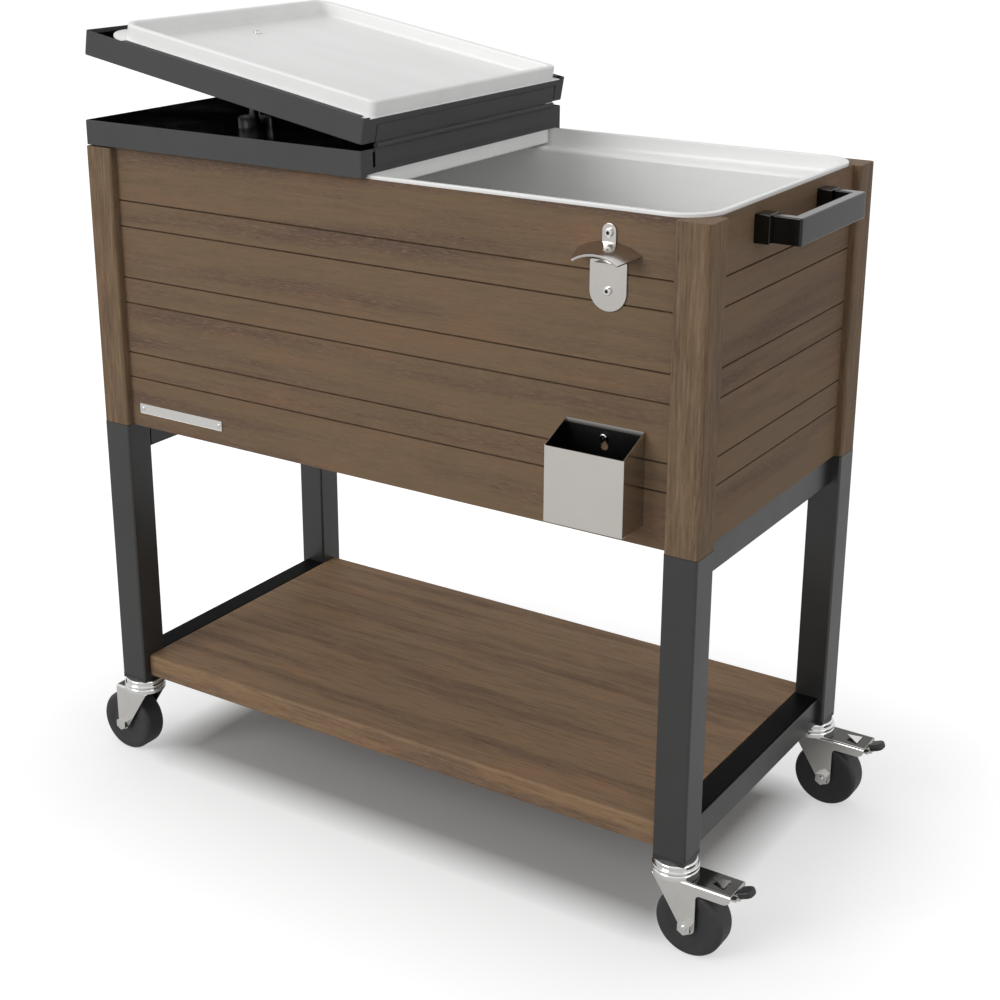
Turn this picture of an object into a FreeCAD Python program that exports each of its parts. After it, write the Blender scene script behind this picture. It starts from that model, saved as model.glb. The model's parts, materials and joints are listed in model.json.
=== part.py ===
import FreeCAD, Part
import math
import os

# A rolling patio cooler: a planked cabinet round an insulated tub, on a square-tube frame with a shelf
# and four swivel casters. Millimetres, +Z up, front towards -Y, origin on the floor under the middle
# of the cabinet. The right lid half is drawn folded over onto the left one, where its knob rests.

# Cabinet
body_length = 840.0
body_depth = 425.0
post_width = 40.0
post_edge_radius = 4.0
plank_pitch = 32.0
wide_planks = 4
wide_plank_rows = 2
narrow_plank_rows = 1
panel_recess = 10.0
panel_thickness = 10.0
groove_width = 4.0
groove_depth = 3.0
floor_pan_thickness = 2.0

# Frame
leg_length = 356.0
tube_wall = 1.5
tube_edge_radius = 3.0
leg_cap = 3.0
spigot_width = 24.0
spigot_length = 60.0
spigot_clearance = 0.25
rail_recess = 13.0
upper_rail_height = 38.0
lower_rail_height = 27.0
lower_rail_drop = 6.0
shelf_thickness = 31.0
shelf_recess = 11.5
shelf_end_gap = 0.25
shelf_edge_radius = 4.0
dowel_radius = 4.0
dowel_length = 36.0
dowel_spacing = 240.0
dowel_clearance = 0.1

# Casters
wheel_diameter = 82.0
wheel_width = 32.0
wheel_edge_radius = 6.0
wheel_recess_radius = 27.0
wheel_recess_depth = 3.0
hub_radius = 11.0
trail = 25.0
axle_radius = 4.0
running_clearance = 0.05
side_clearance = 0.3
hub_clearance = 2.0
fork_plate = 2.0
fork_back = 20.0
fork_front = 34.0
fork_foot_radius = 10.0
crown_thickness = 2.5
crown_clearance = 11.0
race_radius = 27.0
lower_race_height = 5.5
upper_race_height = 4.2
washer_radius = 23.3
washer_height = 6.0
pivot_radius = 6.0
rivet_radius = 10.0
rivet_height = 3.2
stem_length = 50.0
plug_flange = 6.5
plug_depth = 42.0
plug_clearance = 0.2
stem_clearance = 0.1
nut_across_flats = 13.0
nut_height = 6.5
nut_hole_slack = 0.1
bolt_end = 3.0
brake_arm_reach = 76.0
brake_arm_depth = 12.5
brake_arm_corner = 9.0
brake_window_length = 22.0
brake_pivot_radius = 2.5
brake_pivot_length = 3.0
brake_barrel_radius = 4.0
brake_barrel_clearance = 0.5
brake_lever_thickness = 3.0
brake_neck_length = 16.0
brake_neck_clearance = 0.8
brake_pad_gap = 3.0
brake_pad_rise = 5.5
brake_pad_tilt = 22.0
brake_pad_length = 22.0
brake_pad_width = 22.0
brake_pad_height = 10.0
brake_pad_corner = 8.0
brake_shoe_length = 10.0
brake_shoe_depth = 4.0

# Tub, insulation and drain
tub_inset = 46.0
tub_wall = 3.0
mouth_inset = 18.5
mouth_depth = 20.5
mouth_corner_radius = 40.0
mouth_clearance = 0.3
ledge_radius = 5.0
tub_corner_radius = 45.0
tub_bottom_radius = 25.0
floor_foam = 32.0
foam_clearance = 0.2
rim_inset = 12.0
rim_thickness = 4.0
rim_corner_radius = 45.0
drain_end_inset = 74.0
drain_side_inset = 76.5
drain_radius = 12.0
drain_bore_radius = 9.0
drain_flange_radius = 23.0
drain_flange_height = 3.0
drain_tail = 22.0
drain_clearance = 0.3
cap_radius = 17.0
cap_height = 20.0
cap_floor = 3.0

# Lid halves and their hinge
lid_inset = 1.0
lid_height = 27.0
lid_sheet = 1.2
lid_corner_radius = 3.0
lid_edge_radius = 1.5
lid_clearance = 0.3
skirt_drop = 2.5
skirt_notch_clearance = 1.0
liner_thickness = 2.5
liner_clearance = 0.25
liner_inset = 8.0
liner_corner_radius = 52.0
liner_lap = 12.0
lid_return_radius = 40.0
plug_ridge_depth = 18.5
plug_ridge_width = 8.0
plug_ridge_radius = 24.0
plug_side_clearance = 2.5
plug_end_clearance = 17.0
plug_hinge_inset = 4.5
plug_hinge_radius = 9.0
plug_lip_radius = 3.0
hinge_gap = 3.2
hinge_length = 374.0
hinge_knuckles = 11
hinge_leaf_thickness = 1.2
hinge_leaf_height = 20.0
hinge_barrel_radius = 3.0
hinge_pin_radius = 1.5
hinge_side_gap = 0.3
hinge_top_gap = 0.2

# Knobs
knob_inset = 87.0
knob_radius = 21.5
knob_head_height = 10.0
knob_stem_radius = 7.0
knob_stem_height = 20.0
knob_edge_radius = 3.0
knob_rest_gap = 0.4
knob_screw_radius = 2.5
knob_screw_head_radius = 5.0
knob_screw_head_height = 3.0
knob_screw_grip = 15.0
knob_hole_slack = 0.2

# Pull handles
handle_projection = 50.0
handle_span = 174.0
handle_height = 29.0
handle_thickness = 12.0
handle_leg_width = 12.0
handle_drop = 26.0
handle_foot_width = 24.0
handle_foot_depth = 18.0
handle_foot_height = 31.0
handle_edge_radius = 2.5
handle_screw_radius = 3.0
handle_screw_head_radius = 5.0
handle_screw_head_height = 4.0
handle_screw_grip = 12.0
handle_screw_slack = 0.2

# Bottle opener, cap catcher and plate on the front
fittings_inset = 77.0
screw_radius = 2.0
screw_length = 11.0
screw_head_radius = 4.0
screw_head_height = 3.0
screw_slack = 0.2
opener_thickness = 2.0
opener_drop = 13.2
opener_tab_width = 16.0
opener_tab_screw_drop = 9.6
opener_shield_width = 43.0
opener_screw_spacing = 60.5
opener_shield_height = 32.0
hood_depth = 32.0
hood_rear_width = 76.0
hood_front_width = 54.0
hood_rear_rise = 11.0
hood_front_rise = 8.2
hood_rear_drop = 31.5
hood_slope = 5.3
lip_width = 26.0
lip_depth = 10.0
lip_drop = 46.0
catcher_width = 94.6
catcher_depth = 45.0
catcher_height = 104.5
catcher_front_height = 85.5
catcher_rise = 21.5
catcher_sheet = 1.2
catcher_gap = 0.3
keyhole_drop = 14.0
keyhole_lift = 10.0
keyhole_radius = 4.6
plate_inset = 15.0
plate_rise = 24.5
plate_length = 135.0
plate_height = 13.0
plate_thickness = 1.2
plate_rivet_inset = 5.0
plate_rivet_radius = 1.5
plate_rivet_head_radius = 2.4
plate_rivet_head_height = 0.9
plate_rivet_length = 6.0

V = FreeCAD.Vector
X_AXIS = V(1, 0, 0)
Y_AXIS = V(0, 1, 0)
Z_AXIS = V(0, 0, 1)
ORIGIN = V(0, 0, 0)
OVERCUT = 1.0  # how far a cutting tool passes a face

# Levels and places that follow from the sizes above
half_length = body_length / 2
half_depth = body_depth / 2
leg_x = half_length - post_width / 2
leg_y = half_depth - post_width / 2
wheel_radius = wheel_diameter / 2
crown_bottom = wheel_diameter + crown_clearance
crown_top = crown_bottom + crown_thickness
lower_race_top = crown_top + lower_race_height
upper_race_bottom = lower_race_top + side_clearance
upper_race_top = upper_race_bottom + upper_race_height
washer_top = upper_race_top + washer_height
leg_bottom = washer_top + plug_flange
body_bottom = leg_bottom + leg_length
plank_rows = [wide_plank_rows, narrow_plank_rows] * (wide_planks - 1) + [wide_plank_rows]
body_height = plank_pitch * sum(plank_rows)
body_top = body_bottom + body_height
rim_top = body_top + rim_thickness
panel_face_x = half_length - panel_recess
panel_face_y = half_depth - panel_recess
inside_x = panel_face_x - panel_thickness
inside_y = panel_face_y - panel_thickness
tub_half_x = half_length - tub_inset
tub_half_y = half_depth - tub_inset
mouth_half_x = half_length - mouth_inset
mouth_half_y = half_depth - mouth_inset
ledge_z = rim_top - mouth_depth
tub_floor = body_bottom + floor_pan_thickness + floor_foam + tub_wall
drain_x = tub_half_x - drain_end_inset
drain_y = tub_half_y - drain_side_inset
lid_bottom = rim_top + lid_clearance
lid_top = lid_bottom + lid_height
lid_end = half_length - lid_inset
lid_side = half_depth - lid_inset
lid_start = hinge_gap / 2
hinge_z = lid_top + hinge_top_gap + hinge_barrel_radius
knob_reach = lid_end - knob_inset
knob_height = knob_head_height + knob_stem_height
knob_flat = knob_radius - knob_edge_radius
rest_rise = knob_height + knob_rest_gap / 2 - (hinge_z - lid_top)
rest_tilt = 2 * math.degrees(math.atan(rest_rise / (knob_reach - knob_flat)))
opening_angle = 180.0 - rest_tilt


def box(x0, x1, y0, y1, z0, z1):
    return Part.makeBox(x1 - x0, y1 - y0, z1 - z0, V(x0, y0, z0))


def fillet_where(shape, radius, wanted):
    """Rounds the edges whose centre and direction pass the test."""
    edges = [edge for edge in shape.Edges if wanted(edge)]
    return shape.makeFillet(radius, edges)


def runs_along(edge, axis):
    first, last = edge.Vertexes[0].Point, edge.Vertexes[-1].Point
    run = last - first
    return run.Length > 0 and abs(run.dot(axis)) > 0.999 * run.Length


def at_level(edge, level):
    bounds = edge.BoundBox
    return abs(bounds.ZMin - level) < 1e-4 and abs(bounds.ZMax - level) < 1e-4


def rounded_block(x0, x1, y0, y1, z0, z1, radius):
    """A block whose upright edges are rounded."""
    return fillet_where(box(x0, x1, y0, y1, z0, z1), radius, lambda edge: runs_along(edge, Z_AXIS))


def tray_block(x0, x1, half_width, z0, z1, start_radius, end_radius):
    """A block with one radius on the upright edges at its start and another at its far end."""
    middle = (x0 + x1) / 2
    block = box(x0, x1, -half_width, half_width, z0, z1)
    block = fillet_where(block, start_radius,
                         lambda edge: runs_along(edge, Z_AXIS) and edge.BoundBox.XMax < middle)
    return fillet_where(block, end_radius,
                        lambda edge: runs_along(edge, Z_AXIS) and edge.BoundBox.XMin > middle)


def mouth_block(offset, z0, z1):
    """The wide mouth at the tub's top, grown outwards by the offset."""
    reach_x, reach_y = mouth_half_x + offset, mouth_half_y + offset
    return rounded_block(-reach_x, reach_x, -reach_y, reach_y, z0, z1, mouth_corner_radius + offset)


def mouth_room():
    """What the posts and panels are cut back by for the tub's mouth."""
    return mouth_block(tub_wall + mouth_clearance, ledge_z - tub_wall - mouth_clearance, body_top + OVERCUT)


def tube_along(axis, x0, x1, y0, y1, z0, z1):
    """A rectangular tube with open ends, its long edges rounded outside."""
    outside = fillet_where(box(x0, x1, y0, y1, z0, z1), tube_edge_radius, lambda edge: runs_along(edge, axis))
    walls = [0.0 if axis.getAngle(other) < 0.1 else tube_wall for other in (X_AXIS, Y_AXIS, Z_AXIS)]
    reach = [OVERCUT if wall == 0.0 else 0.0 for wall in walls]
    hollow = box(x0 + walls[0] - reach[0], x1 - walls[0] + reach[0],
                 y0 + walls[1] - reach[1], y1 - walls[1] + reach[1],
                 z0 + walls[2] - reach[2], z1 - walls[2] + reach[2])
    return outside.cut(hollow)


def hexagon(centre, axis, across_flats, height):
    """A hexagonal prism that stands on its centre point along the axis."""
    side = Y_AXIS if abs(axis.dot(Y_AXIS)) < 0.5 else Z_AXIS
    other = axis.cross(side)
    reach = across_flats / math.sqrt(3)
    corners = []
    for corner in range(7):
        angle = math.radians(60 * corner)
        corners.append(centre + side * (reach * math.cos(angle)) + other * (reach * math.sin(angle)))
    return Part.Face(Part.makePolygon(corners)).extrude(axis * height)


def mirrored(shape, flip_x, flip_y):
    if flip_x:
        shape = shape.mirror(ORIGIN, X_AXIS)
    if flip_y:
        shape = shape.mirror(ORIGIN, Y_AXIS)
    return shape


# Frame: legs, rails and shelf

def spigot_block(clearance):
    """The square spigot on a leg, grown by the clearance for its socket."""
    half = spigot_width / 2 + clearance
    return box(leg_x - half, leg_x + half, leg_y - half, leg_y + half,
               body_bottom - clearance, body_bottom + spigot_length + clearance)


def leg():
    """Square tube, closed at the top by a welded plate with a spigot that goes up into the post."""
    x0, y0 = half_length - post_width, half_depth - post_width
    outside = tube_along(Z_AXIS, x0, half_length, y0, half_depth, leg_bottom, body_bottom)
    cap = box(x0 + tube_wall, half_length - tube_wall, y0 + tube_wall, half_depth - tube_wall,
              body_bottom - leg_cap, body_bottom)
    return outside.fuse([cap, spigot_block(0.0)]).removeSplitter()


def post():
    """Corner post with a socket for the leg's spigot in its foot, cut back at the top for the tub's mouth."""
    x0, y0 = half_length - post_width, half_depth - post_width
    solid = rounded_block(x0, half_length, y0, half_depth, body_bottom, body_top, post_edge_radius)
    return solid.cut([spigot_block(spigot_clearance), mouth_room()])


def side_rail(z0, z1):
    x0, x1 = half_length - post_width, half_length - rail_recess
    y1 = half_depth - post_width
    return tube_along(Y_AXIS, x0, x1, -y1, y1, z0, z1)


lower_rail_bottom = leg_bottom - lower_rail_drop
lower_rail_top = lower_rail_bottom + lower_rail_height
dowel_z = (max(lower_rail_bottom, leg_bottom) + lower_rail_top) / 2


def dowel_rods(radius):
    """Four dowels, half in the rails and half in the ends of the shelf."""
    start = half_length - post_width - dowel_length / 2
    rods = []
    for side in (-1, 1):
        for place in (-1, 1):
            foot = V(side * start, place * dowel_spacing / 2, dowel_z)
            rods.append(Part.makeCylinder(radius, dowel_length, foot, X_AXIS * side))
    return rods


def shelf():
    end = half_length - post_width - shelf_end_gap
    side = half_depth - shelf_recess
    board = box(-end, end, -side, side, leg_bottom, leg_bottom + shelf_thickness)
    board = fillet_where(board, shelf_edge_radius, lambda edge: runs_along(edge, X_AXIS))
    return board.cut(dowel_rods(dowel_radius + dowel_clearance))


# Cabinet: planked panels, floor pan, insulation, tub and drain

def plank_panel(panel_half_length):
    """A board with its face at y = 0 towards -Y, grooved into wide and narrow planks by turns."""
    board = box(-panel_half_length, panel_half_length, 0, panel_thickness, body_bottom, body_top)
    z = body_bottom
    for rows in plank_rows[:-1]:
        z += plank_pitch * rows
        flare = groove_width / 2 * (groove_depth + OVERCUT) / groove_depth
        corners = [V(-panel_half_length - OVERCUT, -OVERCUT, z - flare),
                   V(-panel_half_length - OVERCUT, -OVERCUT, z + flare),
                   V(-panel_half_length - OVERCUT, groove_depth, z)]
        face = Part.Face(Part.makePolygon(corners + corners[:1]))
        board = board.cut(face.extrude(X_AXIS * (2 * (panel_half_length + OVERCUT))))
    return board


def placed_panel(panel_half_length, face_distance, turn):
    panel = plank_panel(panel_half_length)
    panel.translate(V(0, -face_distance, 0))
    panel.rotate(ORIGIN, Z_AXIS, turn)
    return panel.cut(mouth_room())


def less_posts(shape, z0, z1):
    """Leaves room for the four posts at the corners of a block that fills the cabinet."""
    x0, y0 = half_length - post_width, half_depth - post_width
    corner = box(x0, half_length, y0, half_depth, z0 - OVERCUT, z1 + OVERCUT)
    return shape.cut([mirrored(corner, fx, fy) for fx in (False, True) for fy in (False, True)])


def drain_rod(radius, z0, z1):
    return Part.makeCylinder(radius, z1 - z0, V(drain_x, drain_y, z0))


def floor_pan():
    top = body_bottom + floor_pan_thickness
    sheet = less_posts(box(-inside_x, inside_x, -inside_y, inside_y, body_bottom, top), body_bottom, top)
    return sheet.cut(drain_rod(drain_radius + drain_clearance, body_bottom - OVERCUT, top + OVERCUT))


def tub_block(offset, z0, z1):
    """The tub's space, grown outwards by the offset."""
    reach_x, reach_y = tub_half_x + offset, tub_half_y + offset
    block = rounded_block(-reach_x, reach_x, -reach_y, reach_y, z0, z1, tub_corner_radius + offset)
    return fillet_where(block, tub_bottom_radius + offset, lambda edge: at_level(edge, z0))


def tub():
    """One moulding: a deep tub, a ledge, a wide mouth that takes the lid's ridge, and a narrow rim."""
    reach_x, reach_y = half_length - rim_inset, half_depth - rim_inset
    rim = rounded_block(-reach_x, reach_x, -reach_y, reach_y, body_top, rim_top, rim_corner_radius)
    hollow = tub_block(0.0, tub_floor, ledge_z + OVERCUT)
    hollow = hollow.fuse(mouth_block(0.0, ledge_z, rim_top + OVERCUT)).removeSplitter()
    hollow = fillet_where(hollow, ledge_radius, lambda edge: at_level(edge, ledge_z))
    drain_hole = drain_rod(drain_radius + drain_clearance, body_bottom, tub_floor + OVERCUT)
    outside = tub_block(tub_wall, tub_floor - tub_wall, ledge_z)
    mouth = mouth_block(tub_wall, ledge_z - tub_wall, rim_top)
    shape = outside.fuse([mouth, rim]).removeSplitter().cut([hollow, drain_hole])
    return fillet_where(shape, rim_thickness / 3, lambda edge: at_level(edge, rim_top))


def insulation():
    """Five cut boards: one under the tub, one along each side of it and one across each end."""
    bottom = body_bottom + floor_pan_thickness
    top = ledge_z - tub_wall - foam_clearance
    tub_x, tub_y = tub_half_x + tub_wall, tub_half_y + tub_wall
    floor_board = box(-tub_x, tub_x, -tub_y, tub_y, bottom, tub_floor - tub_wall - foam_clearance)
    floor_board = floor_board.cut(drain_rod(drain_radius + drain_clearance, bottom - OVERCUT, tub_floor))
    side_end = half_length - post_width - foam_clearance
    side_board = box(-side_end, side_end, tub_y + foam_clearance, inside_y, bottom, top)
    end_board = box(tub_x + foam_clearance, inside_x, -tub_y, tub_y, bottom, top)
    end_board = end_board.cut(handle_screw_heads(handle_screw_slack))
    return [floor_board, side_board, mirrored(side_board, False, True),
            end_board, mirrored(end_board, True, False)]


drain_bottom = body_bottom - drain_tail


def drain_fitting():
    flange = drain_rod(drain_flange_radius, tub_floor, tub_floor + drain_flange_height)
    pipe = drain_rod(drain_radius, drain_bottom, tub_floor)
    bore = drain_rod(drain_bore_radius, drain_bottom - OVERCUT, tub_floor + drain_flange_height + OVERCUT)
    return flange.fuse(pipe).cut(bore).removeSplitter()


def drain_cap():
    bottom = drain_bottom - lid_clearance - cap_floor
    cup = drain_rod(cap_radius, bottom, bottom + cap_height)
    cup = fillet_where(cup, cap_floor / 2, lambda edge: at_level(edge, bottom))
    hollow = drain_rod(drain_radius + running_clearance, bottom + cap_floor, bottom + cap_height + OVERCUT)
    return cup.cut(hollow)


# Pull handles and their screws

handle_z = body_top - handle_drop
foot_y = handle_span / 2 - handle_leg_width / 2


def handle_screw_rods(radius, x0, x1):
    rods = []
    for place in (-1, 1):
        rods.append(Part.makeCylinder(radius, x1 - x0, V(x0, place * foot_y, handle_z), X_AXIS))
    return rods


def handle_screw_heads(slack):
    heads = handle_screw_rods(handle_screw_head_radius + slack,
                              inside_x - handle_screw_head_height - slack, inside_x)
    return heads + [mirrored(head, True, False) for head in heads]


def handle():
    """A flat bar on two legs, each standing on a box-shaped foot."""
    outer = panel_face_x + handle_projection
    end = handle_span / 2
    z0, z1 = handle_z - handle_height / 2, handle_z + handle_height / 2
    foot_end = panel_face_x + handle_foot_depth
    bow = box(foot_end - handle_edge_radius, outer, -end, end, z0, z1)
    inner_end = end - handle_leg_width
    gap = box(foot_end - 2 * handle_edge_radius, outer - handle_thickness, -inner_end, inner_end,
              z0 - OVERCUT, z1 + OVERCUT)
    bow = bow.cut(gap)
    bow = fillet_where(bow, handle_edge_radius,
                       lambda edge: runs_along(edge, Z_AXIS) and edge.BoundBox.XMin > outer - OVERCUT)
    shape = bow
    for place in (-1, 1):
        foot = box(panel_face_x, foot_end, place * foot_y - handle_foot_width / 2,
                   place * foot_y + handle_foot_width / 2,
                   handle_z - handle_foot_height / 2, handle_z + handle_foot_height / 2)
        foot = fillet_where(foot, handle_edge_radius, lambda edge: edge.BoundBox.XMin > foot_end - OVERCUT)
        shape = shape.fuse(foot)
    holes = handle_screw_rods(handle_screw_radius + handle_screw_slack, panel_face_x - OVERCUT,
                              panel_face_x + handle_screw_grip + handle_screw_slack)
    return shape.removeSplitter().cut(holes)


def handle_screws():
    shanks = handle_screw_rods(handle_screw_radius, inside_x, panel_face_x + handle_screw_grip)
    heads = handle_screw_heads(0.0)[:2]
    right = [shank.fuse(head).removeSplitter() for shank, head in zip(shanks, heads)]
    return right + [mirrored(screw, True, False) for screw in right]


# Fittings on the front: opener, cap catcher, plate and their screws

face_y = -panel_face_y
fittings_x = half_length - post_width - fittings_inset
opener_top = body_top - opener_drop
opener_tab_screw_z = opener_top - opener_tab_screw_drop
opener_shield_screw_z = opener_tab_screw_z - opener_screw_spacing
catcher_bottom = body_bottom + catcher_rise
catcher_screw_z = catcher_bottom + catcher_height - keyhole_drop
screw_heights = (opener_tab_screw_z, opener_shield_screw_z, catcher_screw_z)


def front_rod(radius, x, z, y0, y1):
    return Part.makeCylinder(radius, y1 - y0, V(x, y0, z), Y_AXIS)


def front_screw_holes():
    depth = screw_length - opener_thickness + screw_slack
    return [front_rod(screw_radius + screw_slack / 2, fittings_x, z, face_y - OVERCUT, face_y + depth)
            for z in screw_heights]


def front_screws():
    """Two screws for the opener and one that the catcher hangs on, all alike."""
    screws = []
    for z in screw_heights:
        seat = face_y - opener_thickness
        head = front_rod(screw_head_radius, fittings_x, z, seat - screw_head_height, seat)
        rim = [edge for edge in head.Edges if edge.BoundBox.YMax < seat - OVERCUT]
        head = head.makeFillet(screw_head_height / 3, rim)
        shank = front_rod(screw_radius, fittings_x, z, seat, seat + screw_length)
        screws.append(head.fuse(shank).removeSplitter())
    return screws


def arched_section(width, rise, z_end, y):
    """The end outline of the hood: a flat arch of the opener's sheet."""
    half = width / 2
    points = []
    for lift in (0.0, opener_thickness):
        points.append([V(fittings_x - half, y, z_end + lift), V(fittings_x, y, z_end + rise + lift),
                       V(fittings_x + half, y, z_end + lift)])
    low, high = points
    return Part.Wire([Part.Arc(low[0], low[1], low[2]).toShape(), Part.makeLine(low[2], high[2]),
                      Part.Arc(high[2], high[1], high[0]).toShape(), Part.makeLine(high[0], low[0])])


def opener():
    """One stamping: tab, arched hood, lip and round-ended shield."""
    half_tab, half_shield = opener_tab_width / 2, opener_shield_width / 2
    front = face_y - opener_thickness
    shield_z = opener_shield_screw_z
    hood_z = opener_top - hood_rear_drop
    tab = box(fittings_x - half_tab, fittings_x + half_tab, front, face_y, shield_z, opener_top - half_tab)
    tab = tab.fuse(front_rod(half_tab, fittings_x, opener_top - half_tab, front, face_y))
    shield = box(fittings_x - half_shield, fittings_x + half_shield, front, face_y,
                 shield_z, shield_z + opener_shield_height)
    shield = shield.fuse(front_rod(half_shield, fittings_x, shield_z, front, face_y))
    hood = Part.makeLoft([arched_section(hood_rear_width, hood_rear_rise, hood_z, face_y),
                          arched_section(hood_front_width, hood_front_rise, hood_z - hood_slope,
                                         face_y - hood_depth)], True, True)
    lip_z = opener_top - lip_drop
    lip = box(fittings_x - lip_width / 2, fittings_x + lip_width / 2, front - lip_depth, front,
              lip_z, lip_z + opener_thickness)
    shape = tab.fuse([shield, hood, lip]).removeSplitter()
    holes = [front_rod(screw_radius + screw_slack, fittings_x, z, front - OVERCUT, face_y + OVERCUT)
             for z in (opener_tab_screw_z, opener_shield_screw_z)]
    return shape.cut(holes)


def catcher_block(inset, extra_height):
    """The catcher's outline with its sloping top, drawn in by the inset."""
    rear = face_y - catcher_gap - inset
    front = face_y - catcher_gap - catcher_depth + inset
    x0 = fittings_x - catcher_width / 2 + inset
    low = catcher_bottom + inset
    corners = [V(x0, rear, low), V(x0, front, low), V(x0, front, catcher_bottom + catcher_front_height),
               V(x0, front, catcher_bottom + catcher_front_height + extra_height),
               V(x0, rear, catcher_bottom + catcher_height + extra_height)]
    if extra_height == 0.0:
        del corners[3]
    face = Part.Face(Part.makePolygon(corners + corners[:1]))
    return face.extrude(X_AXIS * (catcher_width - 2 * inset))


def catcher():
    """A folded sheet box, open at the top, that hangs on its screw by a keyhole."""
    shell = catcher_block(0.0, 0.0).cut(catcher_block(catcher_sheet, catcher_height))
    y0, y1 = face_y - catcher_gap - catcher_sheet - OVERCUT, face_y
    slot_radius = screw_radius + screw_slack
    eye_z = catcher_screw_z - keyhole_lift
    slot = box(fittings_x - slot_radius, fittings_x + slot_radius, y0, y1, eye_z, catcher_screw_z)
    slot_end = front_rod(slot_radius, fittings_x, catcher_screw_z, y0, y1)
    eye = front_rod(keyhole_radius, fittings_x, eye_z, y0, y1)
    return shell.cut([slot, slot_end, eye])


plate_z = body_bottom + plate_rise
plate_x = -(half_length - post_width - plate_inset - plate_length / 2)
plate_rivet_x = [plate_x + side * (plate_length / 2 - plate_rivet_inset) for side in (-1, 1)]


def plate():
    z0, z1 = plate_z - plate_height / 2, plate_z + plate_height / 2
    x0, x1 = plate_x - plate_length / 2, plate_x + plate_length / 2
    sheet = box(x0, x1, face_y - plate_thickness, face_y, z0, z1)
    sheet = fillet_where(sheet, plate_thickness, lambda edge: runs_along(edge, Y_AXIS))
    holes = [front_rod(plate_rivet_radius + screw_slack / 2, x, plate_z, face_y - plate_thickness - OVERCUT,
                       face_y + OVERCUT) for x in plate_rivet_x]
    return sheet.cut(holes)


def plate_rivets():
    rivets = []
    for x in plate_rivet_x:
        seat = face_y - plate_thickness
        head = front_rod(plate_rivet_head_radius, x, plate_z, seat - plate_rivet_head_height, seat)
        shank = front_rod(plate_rivet_radius, x, plate_z, seat, seat + plate_rivet_length)
        rivets.append(head.fuse(shank).removeSplitter())
    return rivets


def front_panel():
    panel = placed_panel(half_length - post_width, panel_face_y, 0)
    rivet_holes = [front_rod(plate_rivet_radius + screw_slack / 2, x, plate_z, face_y - OVERCUT,
                             face_y + plate_rivet_length) for x in plate_rivet_x]
    return panel.cut(front_screw_holes() + rivet_holes)


def right_panel():
    panel = placed_panel(half_depth - post_width, panel_face_x, 90)
    return panel.cut(handle_screw_rods(handle_screw_radius + handle_screw_slack, inside_x - OVERCUT,
                                       panel_face_x + OVERCUT))


# Lid: each piece is drawn as the right half when closed

def knob_rod(radius, z0, z1):
    return Part.makeCylinder(radius, z1 - z0, V(knob_reach, 0, z0))


def lid_frame_opening(inset, z0, z1):
    """The opening in the shell's returned edge, under the liner, made smaller by the inset."""
    edge = liner_inset + liner_lap + inset
    hinge_edge = lid_sheet + liner_clearance + liner_lap + inset
    return tray_block(lid_start + hinge_edge, lid_end - edge, lid_side - edge, z0, z1,
                      lid_corner_radius, lid_return_radius)


def lid_shell():
    """A folded sheet pan: the top, four skirts and an edge returned inwards that the liner is fixed to.
    Three skirts hang down outside the tub's rim; the one at the hinge is notched to clear the rim."""
    bottom = lid_bottom - skirt_drop
    pan = rounded_block(lid_start, lid_end, -lid_side, lid_side, bottom, lid_top, lid_corner_radius)
    pan = fillet_where(pan, lid_edge_radius, lambda edge: at_level(edge, lid_top))
    hollow = rounded_block(lid_start + lid_sheet, lid_end - lid_sheet, -lid_side + lid_sheet,
                           lid_side - lid_sheet, bottom - OVERCUT, lid_top - lid_sheet,
                           lid_corner_radius - lid_sheet)
    hole = knob_rod(knob_screw_radius + knob_hole_slack, lid_bottom, lid_top + OVERCUT)
    notch_end = half_depth - rim_inset + skirt_notch_clearance
    notch = box(lid_start - OVERCUT, lid_start + lid_sheet + OVERCUT, -notch_end, notch_end,
                bottom - OVERCUT, lid_bottom)
    seat = lid_bottom + liner_thickness
    returned = rounded_block(lid_start, lid_end, -lid_side, lid_side, seat, seat + lid_sheet,
                             lid_corner_radius)
    returned = returned.cut(lid_frame_opening(0.0, seat - OVERCUT, seat + lid_sheet + OVERCUT))
    return pan.cut([hollow, hole, notch]).fuse(returned).removeSplitter()


def lid_liner():
    """A moulded tray: a flange inside the skirt and a ridge that hangs into the tub."""
    flange = tray_block(lid_start + lid_sheet + liner_clearance, lid_end - liner_inset,
                        lid_side - liner_inset, lid_bottom, lid_bottom + liner_thickness,
                        lid_corner_radius, liner_corner_radius)
    x0, x1 = plug_hinge_inset, mouth_half_x - plug_end_clearance
    y1 = mouth_half_y - plug_side_clearance
    z0 = lid_bottom - plug_ridge_depth
    ridge = tray_block(x0, x1, y1, z0, lid_bottom, plug_hinge_radius, plug_ridge_radius)
    inside = tray_block(x0 + plug_ridge_width, x1 - plug_ridge_width, y1 - plug_ridge_width,
                        z0 - OVERCUT, lid_bottom, plug_hinge_radius - plug_ridge_width,
                        plug_ridge_radius - plug_ridge_width)
    ring = fillet_where(ridge.cut(inside), plug_lip_radius, lambda edge: at_level(edge, z0))
    hole = knob_rod(knob_screw_radius + knob_hole_slack, lid_bottom - OVERCUT, lid_top)
    return flange.fuse(ring).removeSplitter().cut(hole)


def lid_foam():
    """A block that fills the pan above the returned edge and the edge's opening down to the liner."""
    edge = lid_sheet + foam_clearance
    seat = lid_bottom + liner_thickness
    step = seat + lid_sheet + foam_clearance
    block = rounded_block(lid_start + edge, lid_end - edge, -lid_side + edge, lid_side - edge,
                          step, lid_top - lid_sheet, lid_corner_radius)
    block = block.fuse(lid_frame_opening(foam_clearance, seat, step)).removeSplitter()
    return block.cut(knob_rod(knob_screw_radius + knob_hole_slack, lid_bottom, lid_top))


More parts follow.
